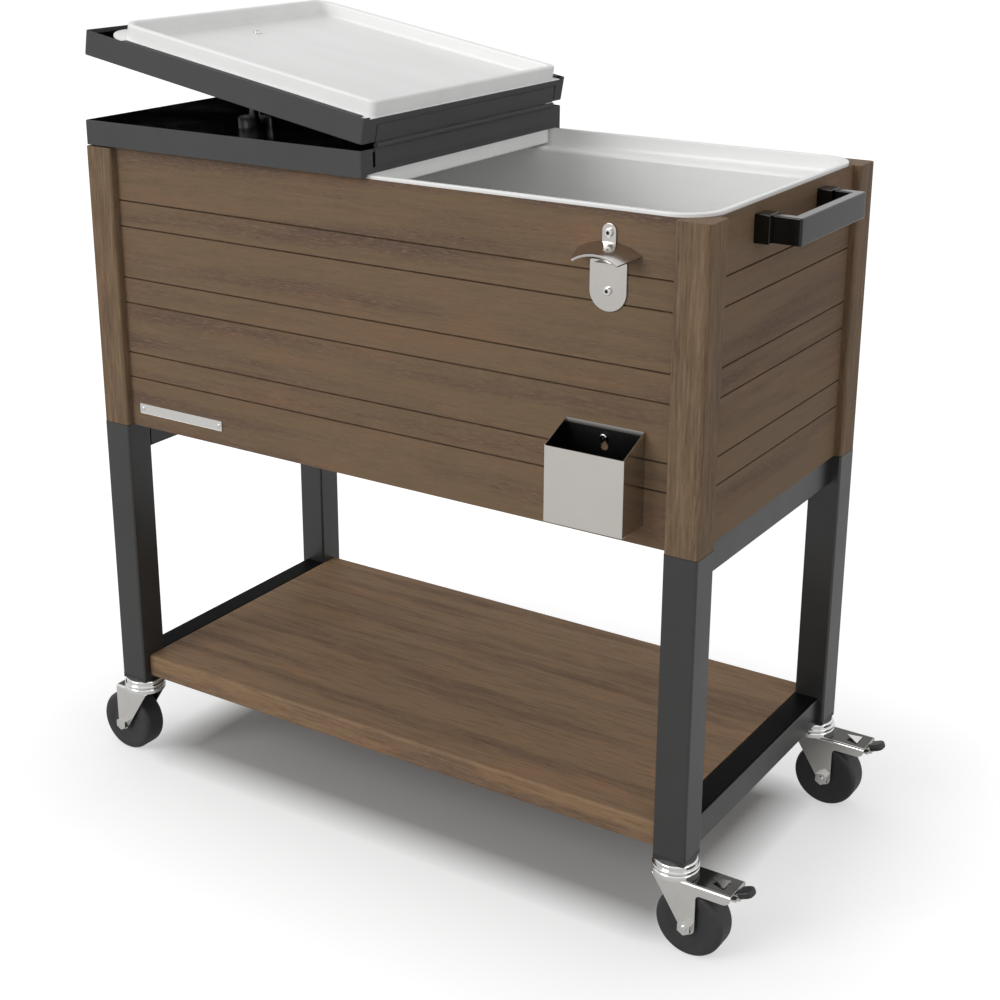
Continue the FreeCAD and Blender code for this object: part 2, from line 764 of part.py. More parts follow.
def lid_knob():
    head_bottom = lid_top + knob_stem_height
    knob_top = lid_top + knob_height
    head = knob_rod(knob_radius, head_bottom, knob_top)
    head = fillet_where(head, knob_edge_radius,
                        lambda edge: at_level(edge, knob_top) or at_level(edge, head_bottom))
    stem = knob_rod(knob_stem_radius, lid_top, head_bottom)
    hole = knob_rod(knob_screw_radius + knob_hole_slack, lid_top - OVERCUT,
                    lid_top + knob_screw_grip + knob_hole_slack)
    return head.fuse(stem).removeSplitter().cut(hole)


def lid_knob_screw():
    head = knob_rod(knob_screw_head_radius, lid_bottom - knob_screw_head_height, lid_bottom)
    head = fillet_where(head, knob_screw_head_height / 3,
                        lambda edge: at_level(edge, lid_bottom - knob_screw_head_height))
    shank = knob_rod(knob_screw_radius, lid_bottom, lid_top + knob_screw_grip)
    return head.fuse(shank).removeSplitter()


def hinge_leaf(first_knuckle):
    """A strip on the skirt's hinge face with every second knuckle of the barrel."""
    x0, x1 = lid_start - hinge_leaf_thickness, lid_start
    end = hinge_length / 2
    leaf = box(x0, x1, -end, end, lid_top - hinge_leaf_height, lid_top - hinge_top_gap)
    pitch = hinge_length / hinge_knuckles
    for knuckle in range(first_knuckle, hinge_knuckles, 2):
        y0 = -end + knuckle * pitch + hinge_side_gap / 2
        y1 = y0 + pitch - hinge_side_gap
        barrel = Part.makeCylinder(hinge_barrel_radius, y1 - y0, V(0, y0, hinge_z), Y_AXIS)
        neck = box(x0, x1, y0, y1, lid_top - hinge_leaf_height, hinge_z)
        leaf = leaf.fuse([neck, barrel])
    bore = Part.makeCylinder(hinge_pin_radius + running_clearance, hinge_length, V(0, -end, hinge_z), Y_AXIS)
    return leaf.removeSplitter().cut(bore)


def hinge_pin():
    return Part.makeCylinder(hinge_pin_radius, hinge_length, V(0, -hinge_length / 2, hinge_z), Y_AXIS)


def folded_open(shape):
    """Turns a closed right-hand piece over the hinge until its knob rests on the other one."""
    turned = shape.copy()
    turned.rotate(V(0, 0, hinge_z), Y_AXIS, -opening_angle)
    return turned


# Casters: drawn about the front right leg's axis moved to the origin, trailing towards +X

cheek_inside = wheel_width / 2 + hub_clearance
cheek_outside = cheek_inside + fork_plate
brake_pivot_z = wheel_diameter + brake_barrel_clearance + brake_barrel_radius
lever_bottom = brake_pivot_z - brake_lever_thickness / 2
pad_start = brake_arm_reach + brake_pad_gap


def wheel():
    tyre = Part.makeCylinder(wheel_radius, wheel_width, V(trail, -wheel_width / 2, wheel_radius), Y_AXIS)
    tyre = tyre.makeFillet(wheel_edge_radius, [edge for edge in tyre.Edges if len(edge.Vertexes) == 1])
    for side in (-1, 1):
        dish = Part.makeCylinder(wheel_recess_radius, wheel_recess_depth,
                                 V(trail, side * wheel_width / 2, wheel_radius), Y_AXIS * -side)
        tyre = tyre.cut(dish)
    hub_half = cheek_inside - side_clearance
    hub = Part.makeCylinder(hub_radius, 2 * hub_half, V(trail, -hub_half, wheel_radius), Y_AXIS)
    bore = Part.makeCylinder(axle_radius + running_clearance, 4 * hub_half,
                             V(trail, -2 * hub_half, wheel_radius), Y_AXIS)
    return tyre.fuse(hub).removeSplitter().cut(bore)


def axle():
    """The wheel's bolt, its head on the far cheek and its nut on the near one."""
    near = -cheek_outside - nut_height - bolt_end
    bolt = Part.makeCylinder(axle_radius, cheek_outside - near, V(trail, near, wheel_radius), Y_AXIS)
    head = hexagon(V(trail, cheek_outside, wheel_radius), Y_AXIS, nut_across_flats, nut_height)
    nut = hexagon(V(trail, -cheek_outside - nut_height, wheel_radius), Y_AXIS, nut_across_flats, nut_height)
    hole = Part.makeCylinder(axle_radius + nut_hole_slack, 2 * nut_height,
                             V(trail, -cheek_outside - 1.5 * nut_height, wheel_radius), Y_AXIS)
    return [bolt.fuse(head).removeSplitter(), nut.cut(hole)]


def cheek(y0, braked):
    """One side of the fork; on a braked caster it runs on as the brake's arm."""
    foot_z = wheel_radius
    corners = [V(-fork_back, y0, crown_top), V(trail - fork_foot_radius, y0, foot_z),
               V(fork_front, y0, foot_z)]
    if braked:
        arm_z = crown_top - brake_arm_depth
        corners += [V(fork_front, y0, arm_z), V(brake_arm_reach - brake_arm_corner, y0, arm_z),
                    V(brake_arm_reach, y0, arm_z + brake_arm_corner), V(brake_arm_reach, y0, crown_top)]
    else:
        corners += [V(fork_front, y0, crown_top)]
    plate_shape = Part.Face(Part.makePolygon(corners + corners[:1])).extrude(Y_AXIS * fork_plate)
    foot_end = Part.makeCylinder(fork_foot_radius, fork_plate, V(trail, y0, foot_z), Y_AXIS)
    return plate_shape.fuse(foot_end).removeSplitter()


def fork(braked):
    """Two cheeks under a crown with the lower race, free to turn on the stem's pivot."""
    reach = brake_arm_reach if braked else fork_front
    crown = box(-fork_back, reach, -cheek_outside, cheek_outside, crown_bottom, crown_top)
    race = Part.makeCylinder(race_radius, lower_race_height, V(0, 0, crown_top))
    race = fillet_where(race, lower_race_height / 3, lambda edge: at_level(edge, lower_race_top))
    seat = Part.makeCylinder(race_radius, crown_thickness, V(0, 0, crown_bottom))
    shape = crown.fuse([seat, race, cheek(-cheek_outside, braked), cheek(cheek_inside, braked)])
    if braked:
        window_end = brake_arm_reach - brake_arm_corner
        window = [V(window_end, 0, crown_bottom - OVERCUT),
                  V(window_end - brake_window_length, -brake_window_length / 2, crown_bottom - OVERCUT),
                  V(window_end - brake_window_length, brake_window_length / 2, crown_bottom - OVERCUT)]
        outline = Part.Face(Part.makePolygon(window + window[:1]))
        opening = outline.extrude(Z_AXIS * (crown_thickness + 2 * OVERCUT))
        shape = shape.cut(opening)
        for side in (-1, 1):
            boss = Part.makeCylinder(brake_pivot_radius, brake_pivot_length,
                                     V(fork_front, side * cheek_inside, brake_pivot_z), Y_AXIS * -side)
            shape = shape.fuse(boss)
    pivot_depth = lower_race_top - crown_bottom + 2 * OVERCUT
    below = V(0, 0, crown_bottom - OVERCUT)
    holes = [Part.makeCylinder(pivot_radius + running_clearance, pivot_depth, below),
             Part.makeCylinder(axle_radius + nut_hole_slack, 4 * cheek_outside,
                               V(trail, -2 * cheek_outside, wheel_radius), Y_AXIS)]
    return shape.removeSplitter().cut(holes)


def brake_pedal():
    """A lever between the fork's cheeks, with a shoe over the tyre and an upturned foot pad at its end."""
    half = cheek_inside - side_clearance
    barrel = Part.makeCylinder(brake_barrel_radius, 2 * half, V(fork_front, -half, brake_pivot_z), Y_AXIS)
    blade = box(fork_front, pad_start, -brake_pad_width / 2, brake_pad_width / 2,
                lever_bottom, lever_bottom + brake_lever_thickness)
    neck_half = brake_pad_width / 2 - brake_pad_corner / 2
    neck_end = pad_start + brake_pad_gap
    neck = box(neck_end - brake_neck_length, neck_end, -neck_half, neck_half,
               lever_bottom, crown_bottom - brake_neck_clearance)
    pad_middle = brake_pivot_z + brake_pad_rise
    pad_z = pad_middle - brake_pad_height / 2
    pad = box(pad_start, pad_start + brake_pad_length, -brake_pad_width / 2, brake_pad_width / 2,
              pad_z, pad_z + brake_pad_height)
    pad = fillet_where(pad, brake_pad_corner, lambda edge: runs_along(edge, Z_AXIS) and
                       edge.BoundBox.XMin > pad_start + OVERCUT)
    pad = fillet_where(pad, brake_pad_height / 4,
                       lambda edge: at_level(edge, pad_z) or at_level(edge, pad_z + brake_pad_height))
    pad.rotate(V(pad_start, 0, pad_middle), Y_AXIS, -brake_pad_tilt)
    shoe_start = fork_front + 2 * brake_barrel_radius
    shoe = box(shoe_start, shoe_start + brake_shoe_length, -brake_pad_width / 2, brake_pad_width / 2,
               lever_bottom - brake_shoe_depth, lever_bottom)
    shape = barrel.fuse([blade, neck, pad, shoe]).removeSplitter()
    bore = Part.makeCylinder(brake_pivot_radius + running_clearance, 4 * half,
                             V(fork_front, -2 * half, brake_pivot_z), Y_AXIS)
    return shape.cut(bore)


def caster_stem():
    """Rivet head, pivot, upper race, washer and the stem that goes up into the leg."""
    rivet_top = crown_bottom - side_clearance
    rivet = Part.makeCylinder(rivet_radius, rivet_height, V(0, 0, rivet_top - rivet_height))
    pivot = Part.makeCylinder(pivot_radius, leg_bottom + stem_length - rivet_top, V(0, 0, rivet_top))
    race = Part.makeCylinder(race_radius, upper_race_height, V(0, 0, upper_race_bottom))
    race = fillet_where(race, upper_race_height / 3, lambda edge: at_level(edge, upper_race_top))
    washer = Part.makeCylinder(washer_radius, washer_height, V(0, 0, upper_race_top))
    washer = fillet_where(washer, washer_height / 3, lambda edge: at_level(edge, washer_top))
    return rivet.fuse([pivot, race, washer]).removeSplitter()


def leg_plug():
    """The moulded end plug that fills the leg's end and holds the stem."""
    flange_half = post_width / 2 - tube_wall / 2
    plug_half = post_width / 2 - tube_wall - plug_clearance
    flange = box(-flange_half, flange_half, -flange_half, flange_half, washer_top, leg_bottom)
    plug = box(-plug_half, plug_half, -plug_half, plug_half, leg_bottom, leg_bottom + plug_depth)
    hole = Part.makeCylinder(pivot_radius + stem_clearance, plug_flange + plug_depth + 2 * OVERCUT,
                             V(0, 0, washer_top - OVERCUT))
    return flange.fuse(plug).cut(hole)


def at_corner(shape, side, front):
    """Moves a caster piece under its leg; the left-hand casters trail the other way."""
    placed = shape.copy()
    if side == "left":
        placed.rotate(ORIGIN, Z_AXIS, 180)
    placed.translate(V(leg_x if side == "right" else -leg_x, -leg_y if front else leg_y, 0))
    return placed


# The nodes, one file each

nodes = {}
for depth_name, front in (("front", True), ("rear", False)):
    for side_name in ("left", "right"):
        corner_name = depth_name + "_" + side_name
        flip_x, flip_y = side_name == "left", front
        nodes[corner_name + "_leg"] = mirrored(leg(), flip_x, flip_y)
        nodes[corner_name + "_post"] = mirrored(post(), flip_x, flip_y)
        has_brake = side_name == "right"
        nodes[corner_name + "_caster_fork"] = at_corner(fork(has_brake), side_name, front)
        nodes[corner_name + "_caster_axle"] = [at_corner(piece, side_name, front) for piece in axle()]
        nodes[corner_name + "_caster_wheel"] = at_corner(wheel(), side_name, front)
        if has_brake:
            nodes[corner_name + "_brake_pedal"] = at_corner(brake_pedal(), side_name, front)

corners = [(side_name, front) for front in (True, False) for side_name in ("left", "right")]
nodes["caster_stems"] = [at_corner(caster_stem(), side_name, front) for side_name, front in corners]
nodes["leg_plugs"] = [at_corner(leg_plug(), side_name, front) for side_name, front in corners]

rail_holes = dowel_rods(dowel_radius + dowel_clearance)
upper_rail = side_rail(body_bottom - upper_rail_height, body_bottom)
lower_rail = side_rail(lower_rail_bottom, lower_rail_top)
nodes["right_upper_rail"] = upper_rail
nodes["left_upper_rail"] = mirrored(upper_rail, True, False)
nodes["right_lower_rail"] = lower_rail.cut(rail_holes)
nodes["left_lower_rail"] = mirrored(lower_rail, True, False).cut(rail_holes)
nodes["shelf_board"] = shelf()
nodes["shelf_dowels"] = dowel_rods(dowel_radius)

nodes["front_panel"] = front_panel()
nodes["rear_panel"] = placed_panel(half_length - post_width, panel_face_y, 180)
nodes["right_panel"] = right_panel()
nodes["left_panel"] = mirrored(right_panel(), True, False)
nodes["cabinet_floor"] = floor_pan()
nodes["insulation_foam"] = insulation()
nodes["inner_tub"] = tub()
nodes["drain_fitting"] = drain_fitting()
nodes["drain_cap"] = drain_cap()
nodes["right_handle"] = handle()
nodes["left_handle"] = mirrored(handle(), True, False)
nodes["handle_screws"] = handle_screws()
nodes["bottle_opener"] = opener()
nodes["front_screws"] = front_screws()
nodes["cap_catcher"] = catcher()
nodes["name_plate"] = plate()
nodes["name_plate_rivets"] = plate_rivets()

for piece_name, piece in (("shell", lid_shell()), ("liner", lid_liner()), ("foam", lid_foam()),
                          ("knob", lid_knob()), ("knob_screw", lid_knob_screw())):
    nodes["left_lid_" + piece_name] = mirrored(piece, True, False)
    nodes["right_lid_" + piece_name] = folded_open(piece)
nodes["left_hinge_leaf"] = mirrored(hinge_leaf(0), True, False)
nodes["right_hinge_leaf"] = folded_open(hinge_leaf(1))
nodes["hinge_pin"] = hinge_pin()

os.makedirs("parts", exist_ok=True)
for node_name, shapes in nodes.items():
    solids = shapes if isinstance(shapes, list) else [shapes]
    bodies = [solid for shape in solids for solid in shape.Solids]
    whole = bodies[0] if len(bodies) == 1 else Part.makeCompound(bodies)
    whole.exportStep("parts/" + node_name + ".step")
    state = "valid" if whole.isValid() else "BAD"
    print(node_name, len(bodies), "solids", round(whole.Volume / 1000, 1), "cm3", state)
print(len(nodes), "nodes; lid opens", round(opening_angle, 3), "degrees; hinge at z", round(hinge_z, 3))
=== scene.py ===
import json
import math
import bmesh
import bpy
from mathutils import Matrix, Vector

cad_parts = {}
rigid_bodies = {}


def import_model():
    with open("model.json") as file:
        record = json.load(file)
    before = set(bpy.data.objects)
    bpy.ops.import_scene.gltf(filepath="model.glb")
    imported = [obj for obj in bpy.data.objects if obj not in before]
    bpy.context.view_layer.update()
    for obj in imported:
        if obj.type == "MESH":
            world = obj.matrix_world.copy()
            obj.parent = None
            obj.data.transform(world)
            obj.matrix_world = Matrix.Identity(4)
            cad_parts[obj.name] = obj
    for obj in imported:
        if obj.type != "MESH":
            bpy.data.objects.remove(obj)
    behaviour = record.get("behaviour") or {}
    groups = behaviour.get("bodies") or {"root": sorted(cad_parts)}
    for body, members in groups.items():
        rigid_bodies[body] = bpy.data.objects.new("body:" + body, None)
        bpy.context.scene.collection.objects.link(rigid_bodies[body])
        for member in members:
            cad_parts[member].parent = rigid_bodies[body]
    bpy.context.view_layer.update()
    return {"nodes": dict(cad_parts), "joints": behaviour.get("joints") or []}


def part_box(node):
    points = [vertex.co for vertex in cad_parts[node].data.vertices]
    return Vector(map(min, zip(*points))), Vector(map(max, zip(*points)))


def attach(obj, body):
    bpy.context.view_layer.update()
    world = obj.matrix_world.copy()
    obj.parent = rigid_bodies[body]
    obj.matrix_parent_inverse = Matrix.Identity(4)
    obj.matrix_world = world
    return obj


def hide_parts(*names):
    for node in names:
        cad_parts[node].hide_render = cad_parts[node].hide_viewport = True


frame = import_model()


# The studio: a broad pale floor under a white surround, a large soft lamp to the front left, and weaker
# ones above and to the right. The floor glows white except in a rectangle under the cart, a painted shadow.
# A dark card that only reflections see keeps the lid's top black. The camera stands where the photograph was
# taken from.
class Shade:
    """One output among a material's nodes; sums and products of it add Math nodes."""

    def __init__(self, tree, socket):
        self.tree = tree
        self.socket = socket

    def node(self, kind, settings, sockets, output=0):
        """Adds a node, sets it up, fills or links its sockets and returns one of its outputs."""
        made = self.tree.nodes.new(kind)
        for name, value in settings.items():
            setattr(made, name, value)
        for name, value in sockets.items():
            if isinstance(value, Shade):
                self.tree.links.new(value.socket, made.inputs[name])
            else:
                made.inputs[name].default_value = value
        return Shade(self.tree, made.outputs[output])

    def into(self, shader, name):
        self.tree.links.new(self.socket, shader.inputs[name])

    def math(self, operation, first, second):
        return self.node("ShaderNodeMath", {"operation": operation}, {0: first, 1: second})

    def __add__(self, other):
        return self.math("ADD", self, other)

    def __sub__(self, other):
        return self.math("SUBTRACT", self, other)

    def __mul__(self, other):
        return self.math("MULTIPLY", self, other)

    __radd__ = __add__
    __rmul__ = __mul__

    def ramp(self, low, high):
        """Stretches the part between low and high to the whole range from 0 to 1."""
        return self.node("ShaderNodeMapRange", {}, {"Value": self, "From Min": low, "From Max": high})

    def blend(self, first, second):
        """A colour that goes from the first to the second as this value goes from 0 to 1."""
        return self.node("ShaderNodeMix", {"data_type": "RGBA"}, {0: self, 6: first, 7: second}, 2)


def tone(red, green, blue):
    """A colour as the eye reads it, 0 to 255 each, as a shader takes it."""
    shares = [value / 255 for value in (red, green, blue)]
    return [share / 12.92 if share < 0.04 else ((share + 0.055) / 1.055) ** 2.4 for share in shares] + [1.0]


def new_finish(name):
    """A new material, its shader, and the place on the object that its pattern is drawn from."""
    material = bpy.data.materials.new(name)
    material.use_nodes = True
    tree = material.node_tree
    place = tree.nodes.new("ShaderNodeTexCoord")
    return material, tree.nodes["Principled BSDF"], Shade(tree, place.outputs["Object"])


def ray_kinds(tree, *names):
    path = tree.nodes.new("ShaderNodeLightPath")
    return [Shade(tree, path.outputs[name]) for name in names]


scene = bpy.context.scene
scene.view_settings.view_transform = "Standard"

surround = bpy.data.worlds.new("white_surround")
surround.use_nodes = True
scene.world = surround
camera_ray, glossy_ray, clear_ray = ray_kinds(surround.node_tree, "Is Camera Ray", "Is Glossy Ray",
                                              "Is Transmission Ray")
ambient = 0.52
(ambient + (1 - ambient) * (camera_ray + glossy_ray + clear_ray)).into(
    surround.node_tree.nodes["Background"], "Strength")
surround.node_tree.nodes["Background"].inputs["Color"].default_value = (1, 1, 1, 1)

bpy.ops.object.select_all(action="DESELECT")
bpy.ops.mesh.primitive_plane_add(size=60)
studio_floor = bpy.context.object
studio_floor.name = "studio_floor"
floor_finish, shader, place = new_finish("studio_floor")
shader.inputs["Base Color"].default_value = tone(190, 190, 190)
shader.inputs["Roughness"].default_value = 0.9
shader.inputs["Specular IOR Level"].default_value = 0.0
shader.inputs["Emission Strength"].default_value = 1.0
camera_ray, glossy_ray = ray_kinds(floor_finish.node_tree, "Is Camera Ray", "Is Glossy Ray")
# The floor's glow, for the camera and in reflections, is left out of a rectangle under the cart and rises
# over a soft edge: a painted shadow.
painted_shadow_half_length, painted_shadow_half_depth = 0.35, 0.150
floor_x = place.node("ShaderNodeSeparateXYZ", {}, {"Vector": place}, "X")
floor_y = place.node("ShaderNodeSeparateXYZ", {}, {"Vector": place}, "Y")
past_end = place.math("MAXIMUM", place.math("ABSOLUTE", floor_x, 0.0) - painted_shadow_half_length, 0.0)
past_side = place.math("MAXIMUM", place.math("ABSOLUTE", floor_y, 0.0) - painted_shadow_half_depth, 0.0)
distance = place.math("SQRT", past_end * past_end + past_side * past_side, 0.0)
shadow_edge, far_floor = distance.ramp(0.0, 0.070), distance.ramp(0.05, 0.42)
painted_shadow_glow = (camera_ray + 0.47 * glossy_ray) * (0.50 * shadow_edge + 0.24 * far_floor)
painted_shadow_glow.blend((0, 0, 0, 1), (1, 1, 1, 1)).into(shader, "Emission Color")
studio_floor.data.materials.append(floor_finish)


def lamp(name, spot, aim, size, power):
    light = bpy.data.lights.new(name, "AREA")
    light.size = size
    light.energy = power
    holder = bpy.data.objects.new(name, light)
    holder.location = spot
    holder.rotation_euler = (Vector(spot) - Vector(aim)).to_track_quat("Z", "Y").to_euler()
    scene.collection.objects.link(holder)


lamp("front_left_lamp", (-3.5, -7.5, 4.5), (0, 0, 0.5), 5.0, 410)
lamp("top_lamp", (0.4, 0.6, 8.5), (0, 0, 0.5), 5.0, 50)
lamp("right_lamp", (6.5, -1.0, 1.0), (0, 0, 0.4), 3.0, 45)

card_length, card_height = 1.9, 0.50
bpy.ops.mesh.primitive_plane_add(size=1)
dark_card = bpy.context.object
dark_card.name = "dark_card"
dark_card.scale = (card_length, card_height, 1)
dark_card.location = (-1.30, 1.05, 1.03)
dark_card.rotation_euler = (math.radians(90), 0, math.radians(42))
for ray in ("camera", "diffuse", "shadow", "transmission"):
    setattr(dark_card, "visible_" + ray, False)
card_finish, shader, place = new_finish("dark_card")
shader.inputs["Base Color"].default_value = tone(4, 4, 4)
shader.inputs["Specular IOR Level"].default_value = 0.0
dark_card.data.materials.append(card_finish)

camera = bpy.data.objects.new("camera", bpy.data.cameras.new("camera"))
camera.location = (1.1323, -1.7045, 1.1736)
camera.rotation_euler = (math.radians(71.52), 0, math.radians(33.35))
camera.data.lens = 62.31
camera.data.sensor_width = 36
camera.data.shift_x = 0.0222
camera.data.shift_y = -0.0779
scene.collection.objects.link(camera)
scene.camera = camera


# The four legs are square steel tubes, powder coated satin black, with a moulded plug in each foot.
# A side rail is welded between each pair of legs at the top, and a lower one beside the shelf, level with
# the shelf's top. The rails' top faces are coloured near black with almost no reflection: painted shade.
leg_wall, leg_hollow = 0.0015, 0.30
rail_step = 0.005
tube_rounding = 0.003
corners = ("front_left", "front_right", "rear_left", "rear_right")


def open_piece(name):
    """An empty mesh under a name, open for modelling."""
    bpy.ops.object.select_all(action="DESELECT")
    bpy.ops.mesh.primitive_plane_add(size=1)
    piece = bpy.context.object
    piece.name = piece.data.name = name
    bpy.ops.object.mode_set(mode="EDIT")
    bpy.ops.mesh.delete(type="VERT")
    bpy.ops.mesh.select_mode(type="VERT")
    return piece


def add_block(low, high):
    """Adds a block between two corners to the piece that is open."""
    low, high = Vector(low), Vector(high)
    middle = (low + high) / 2
    bpy.ops.mesh.primitive_cube_add(size=1, location=middle)
    bpy.ops.transform.resize(value=high - low, center_override=middle)


def pick(kind, test):
    """Selects the faces or points that pass a test on their middle and normal, or the edges at which the
    surface turns or ends that pass a test on their middle and direction."""
    bpy.ops.mesh.select_mode(type=kind)
    bpy.ops.mesh.select_all(action="DESELECT")
    mesh = bpy.context.edit_object.data
    shape = bmesh.from_edit_mesh(mesh)
    if kind == "FACE":
        chosen = [face for face in shape.faces if test(face.calc_center_median(), face.normal)]
    elif kind == "EDGE":
        ends = [(edge, edge.verts[0].co, edge.verts[1].co) for edge in shape.edges
                if edge.calc_face_angle(math.pi) > 0.02]
        chosen = [edge for edge, first, last in ends if test((first + last) / 2, (last - first).normalized())]
    else:
        chosen = [point for point in shape.verts if test(point.co, point.normal)]
    for part in chosen:
        part.select_set(True)
    bmesh.update_edit_mesh(mesh)


def near(first, second):
    return abs(first - second) < 2e-5


def lies_flat(normal):
    return abs(normal.z) > 0.999


def move_out(value):
    """Extrudes what is selected."""
    bpy.ops.mesh.extrude_region_move(TRANSFORM_OT_translate={"value": value})


def close_piece(smooth_angle=35):
    """Ends modelling and shades the rounded parts smooth."""
    bpy.ops.object.mode_set(mode="OBJECT")
    bpy.ops.object.shade_smooth_by_angle(angle=math.radians(smooth_angle))


def soften(piece, width, segments=3, angle=40):
    """Rounds every edge that is sharper than the angle."""
    rounding = piece.modifiers.new("rounding", "BEVEL")
    rounding.width = width
    rounding.segments = segments
    rounding.limit_method = "ANGLE"
    rounding.angle_limit = math.radians(angle)
    bpy.ops.object.modifier_apply(modifier=rounding.name)
    bpy.ops.object.shade_smooth_by_angle(angle=math.radians(35))


def dress(piece, finish, body, slot, *nodes):
    """Gives a piece its finish, keeps its flat faces flat beside rounded edges, sets it on its body and lets
    it stand for its nodes."""
    if not piece.data.materials:
        piece.data.materials.append(finish)
    bpy.context.view_layer.objects.active = piece
    weighting = piece.modifiers.new("weighting", "WEIGHTED_NORMAL")
    weighting.keep_sharp = True
    bpy.ops.object.modifier_apply(modifier=weighting.name)
    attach(piece, body)
    if nodes:
        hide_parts(*nodes)


def grain(place, length, width, along, detail=2.0):
    """Noise drawn out along one axis: marks about as long and as wide as given."""
    stretch = [1 / width] * 3
    stretch[along] = 1 / length
    drawn = place.node("ShaderNodeMapping", {}, {"Vector": place, "Scale": stretch})
    return place.node("ShaderNodeTexNoise", {}, {"Vector": drawn, "Scale": 1.0, "Detail": detail,
                                                 "Roughness": 0.6})


def bump(height, depth):
    return height.node("ShaderNodeBump", {}, {"Height": height, "Strength": 1.0, "Distance": depth})


def paint_finish(name, colour, worn, roughness, speckle, sheen=0.5):
    """Sprayed paint: a fine orange peel, a little dust and slight changes of gloss."""
    material, shader, place = new_finish(name)
    cloud = grain(place, 0.09, 0.09, 0, 3).ramp(0.35, 0.7)
    peel = grain(place, speckle, speckle, 0, 1)
    (cloud * 0.5).blend(colour, worn).into(shader, "Base Color")
    (roughness + 0.08 * cloud + 0.06 * peel).into(shader, "Roughness")
    bump(peel, 0.00006).into(shader, "Normal")
    shader.inputs["Specular IOR Level"].default_value = sheen
    return material


frame_paint = paint_finish("frame_powder_coat", tone(30, 30, 29), tone(37, 37, 36), 0.28, 0.0012, 0.65)
# The rails' top faces are painted near black with almost no reflection: painted shade.
rail_top_painted_shade = paint_finish("rail_top_painted_shade", tone(7, 7, 7), tone(12, 12, 12), 0.45, 0.0012, 0.03)

for corner in corners:
    low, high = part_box(corner + "_leg")
    high.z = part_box(corner + "_post")[0].z
    leg = open_piece(corner + "_square_leg")
    add_block(low, high)
    pick("EDGE", lambda middle, run: abs(run.z) > 0.9)
    bpy.ops.mesh.bevel(offset=tube_rounding, segments=4, affect="EDGES")
    pick("FACE", lambda middle, normal: normal.z < -0.9)
    bpy.ops.mesh.inset(thickness=leg_wall)
    move_out((0, 0, leg_hollow))
    close_piece()
    dress(leg, frame_paint, "cabinet", "frame_black", corner + "_leg")

for rail_name in ("left_upper_rail", "right_upper_rail", "left_lower_rail", "right_lower_rail"):
    low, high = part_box(rail_name)
    if "lower" in rail_name:
        high.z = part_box("shelf_board")[1].z
        outer = low if "left" in rail_name else high
        outer.x += math.copysign(rail_step, outer.x)
    rail = open_piece(rail_name + "_tube")
    add_block(low, high)
    pick("EDGE", lambda middle, run: abs(run.y) > 0.9)
    bpy.ops.mesh.bevel(offset=tube_rounding, segments=4, affect="EDGES")
    rail.data.materials.append(frame_paint)
    rail.data.materials.append(rail_top_painted_shade)
    pick("FACE", lambda middle, normal: normal.z > 0.7)
    rail.active_material_index = 1
    bpy.ops.object.material_slot_assign()
    close_piece()
    dress(rail, frame_paint, "cabinet", "frame_black", rail_name)


# The shelf is one solid board with rounded long edges and the grain along it. It is held between the
# lower rails by dowels, and finished with a thin clear satin coat.
def wood_finish(name, along, base, band, warm, shift, streak=0.15):
    """Stained hardwood: soft bands, warm patches, fine streaks, and short ticks along the grain."""
    material, shader, place = new_finish(name)
    place = place.node("ShaderNodeMapping", {}, {"Vector": place, "Location": shift})
    bands = grain(place, 0.50, 0.028, along, 3).ramp(0.46, 0.68)
    patches = grain(place, 0.13, 0.032, along, 2).ramp(0.50, 0.74)
    streaks = grain(place, 0.045, 0.0026, along, 2)
    ticks = grain(place, 0.011, 0.0012, along, 1)
    colour = bands.blend(base, band)
    colour = (patches * 0.55).blend(colour, warm)
    colour = (streaks.ramp(0.52, 0.78) * streak).blend(colour, tone(146, 125, 101))
    colour = (streaks.ramp(0.48, 0.24) * streak).blend(colour, tone(72, 57, 45))
    colour = (ticks.ramp(0.58, 0.74) * (0.10 + 0.35 * bands)).blend(colour, tone(152, 131, 106))
    colour = (ticks.ramp(0.42, 0.26) * (0.15 + 0.40 * bands)).blend(colour, tone(64, 50, 40))
    colour.into(shader, "Base Color")
    (0.50 + 0.2 * ticks + 0.08 * bands).into(shader, "Roughness")
    bump(0.6 * ticks + 0.4 * streaks, 0.00020).into(shader, "Normal")
    shader.inputs["Specular IOR Level"].default_value = 0.15
    return material


def use_finish(finish, *names):
    """Gives solids that stay in sight their finish."""
    for name in names:
        frame["nodes"][name].data.materials.clear()
        frame["nodes"][name].data.materials.append(finish)


walnut, walnut_band, walnut_warm = tone(115, 95, 74), tone(99, 80, 68), tone(127, 97, 74)
# The shelf's wood is lighter than the panels' walnut: painted light against the shade under the cabinet.
shelf_wood = wood_finish("shelf_wood", 0, tone(138, 111, 84), tone(112, 90, 73), tone(154, 117, 87),
                         (0.3, 0.7, 0), 0.5)
shelf_rounding = 0.004
shelf = open_piece("solid_shelf")
add_block(*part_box("shelf_board"))
pick("EDGE", lambda middle, run: abs(run.x) > 0.9)
bpy.ops.mesh.bevel(offset=shelf_rounding, segments=5, affect="EDGES")
close_piece()
dress(shelf, shelf_wood, "cabinet", "shelf_wood", "shelf_board")
use_finish(shelf_wood, "shelf_dowels")


# Each corner post is a solid square of the same stained wood with soft edges and upright grain. It stands
# on the leg, which goes up into it with a spigot, and is cut back at the top for the tub's mouth.
mouth_x, mouth_y, mouth_corner = 0.4015, 0.194, 0.040
ledge, skin, mouth_gap, mouth_height = 0.8095, 0.003, 0.0003, 0.05
post_rounding, post_end_rounding = 0.004, 0.001


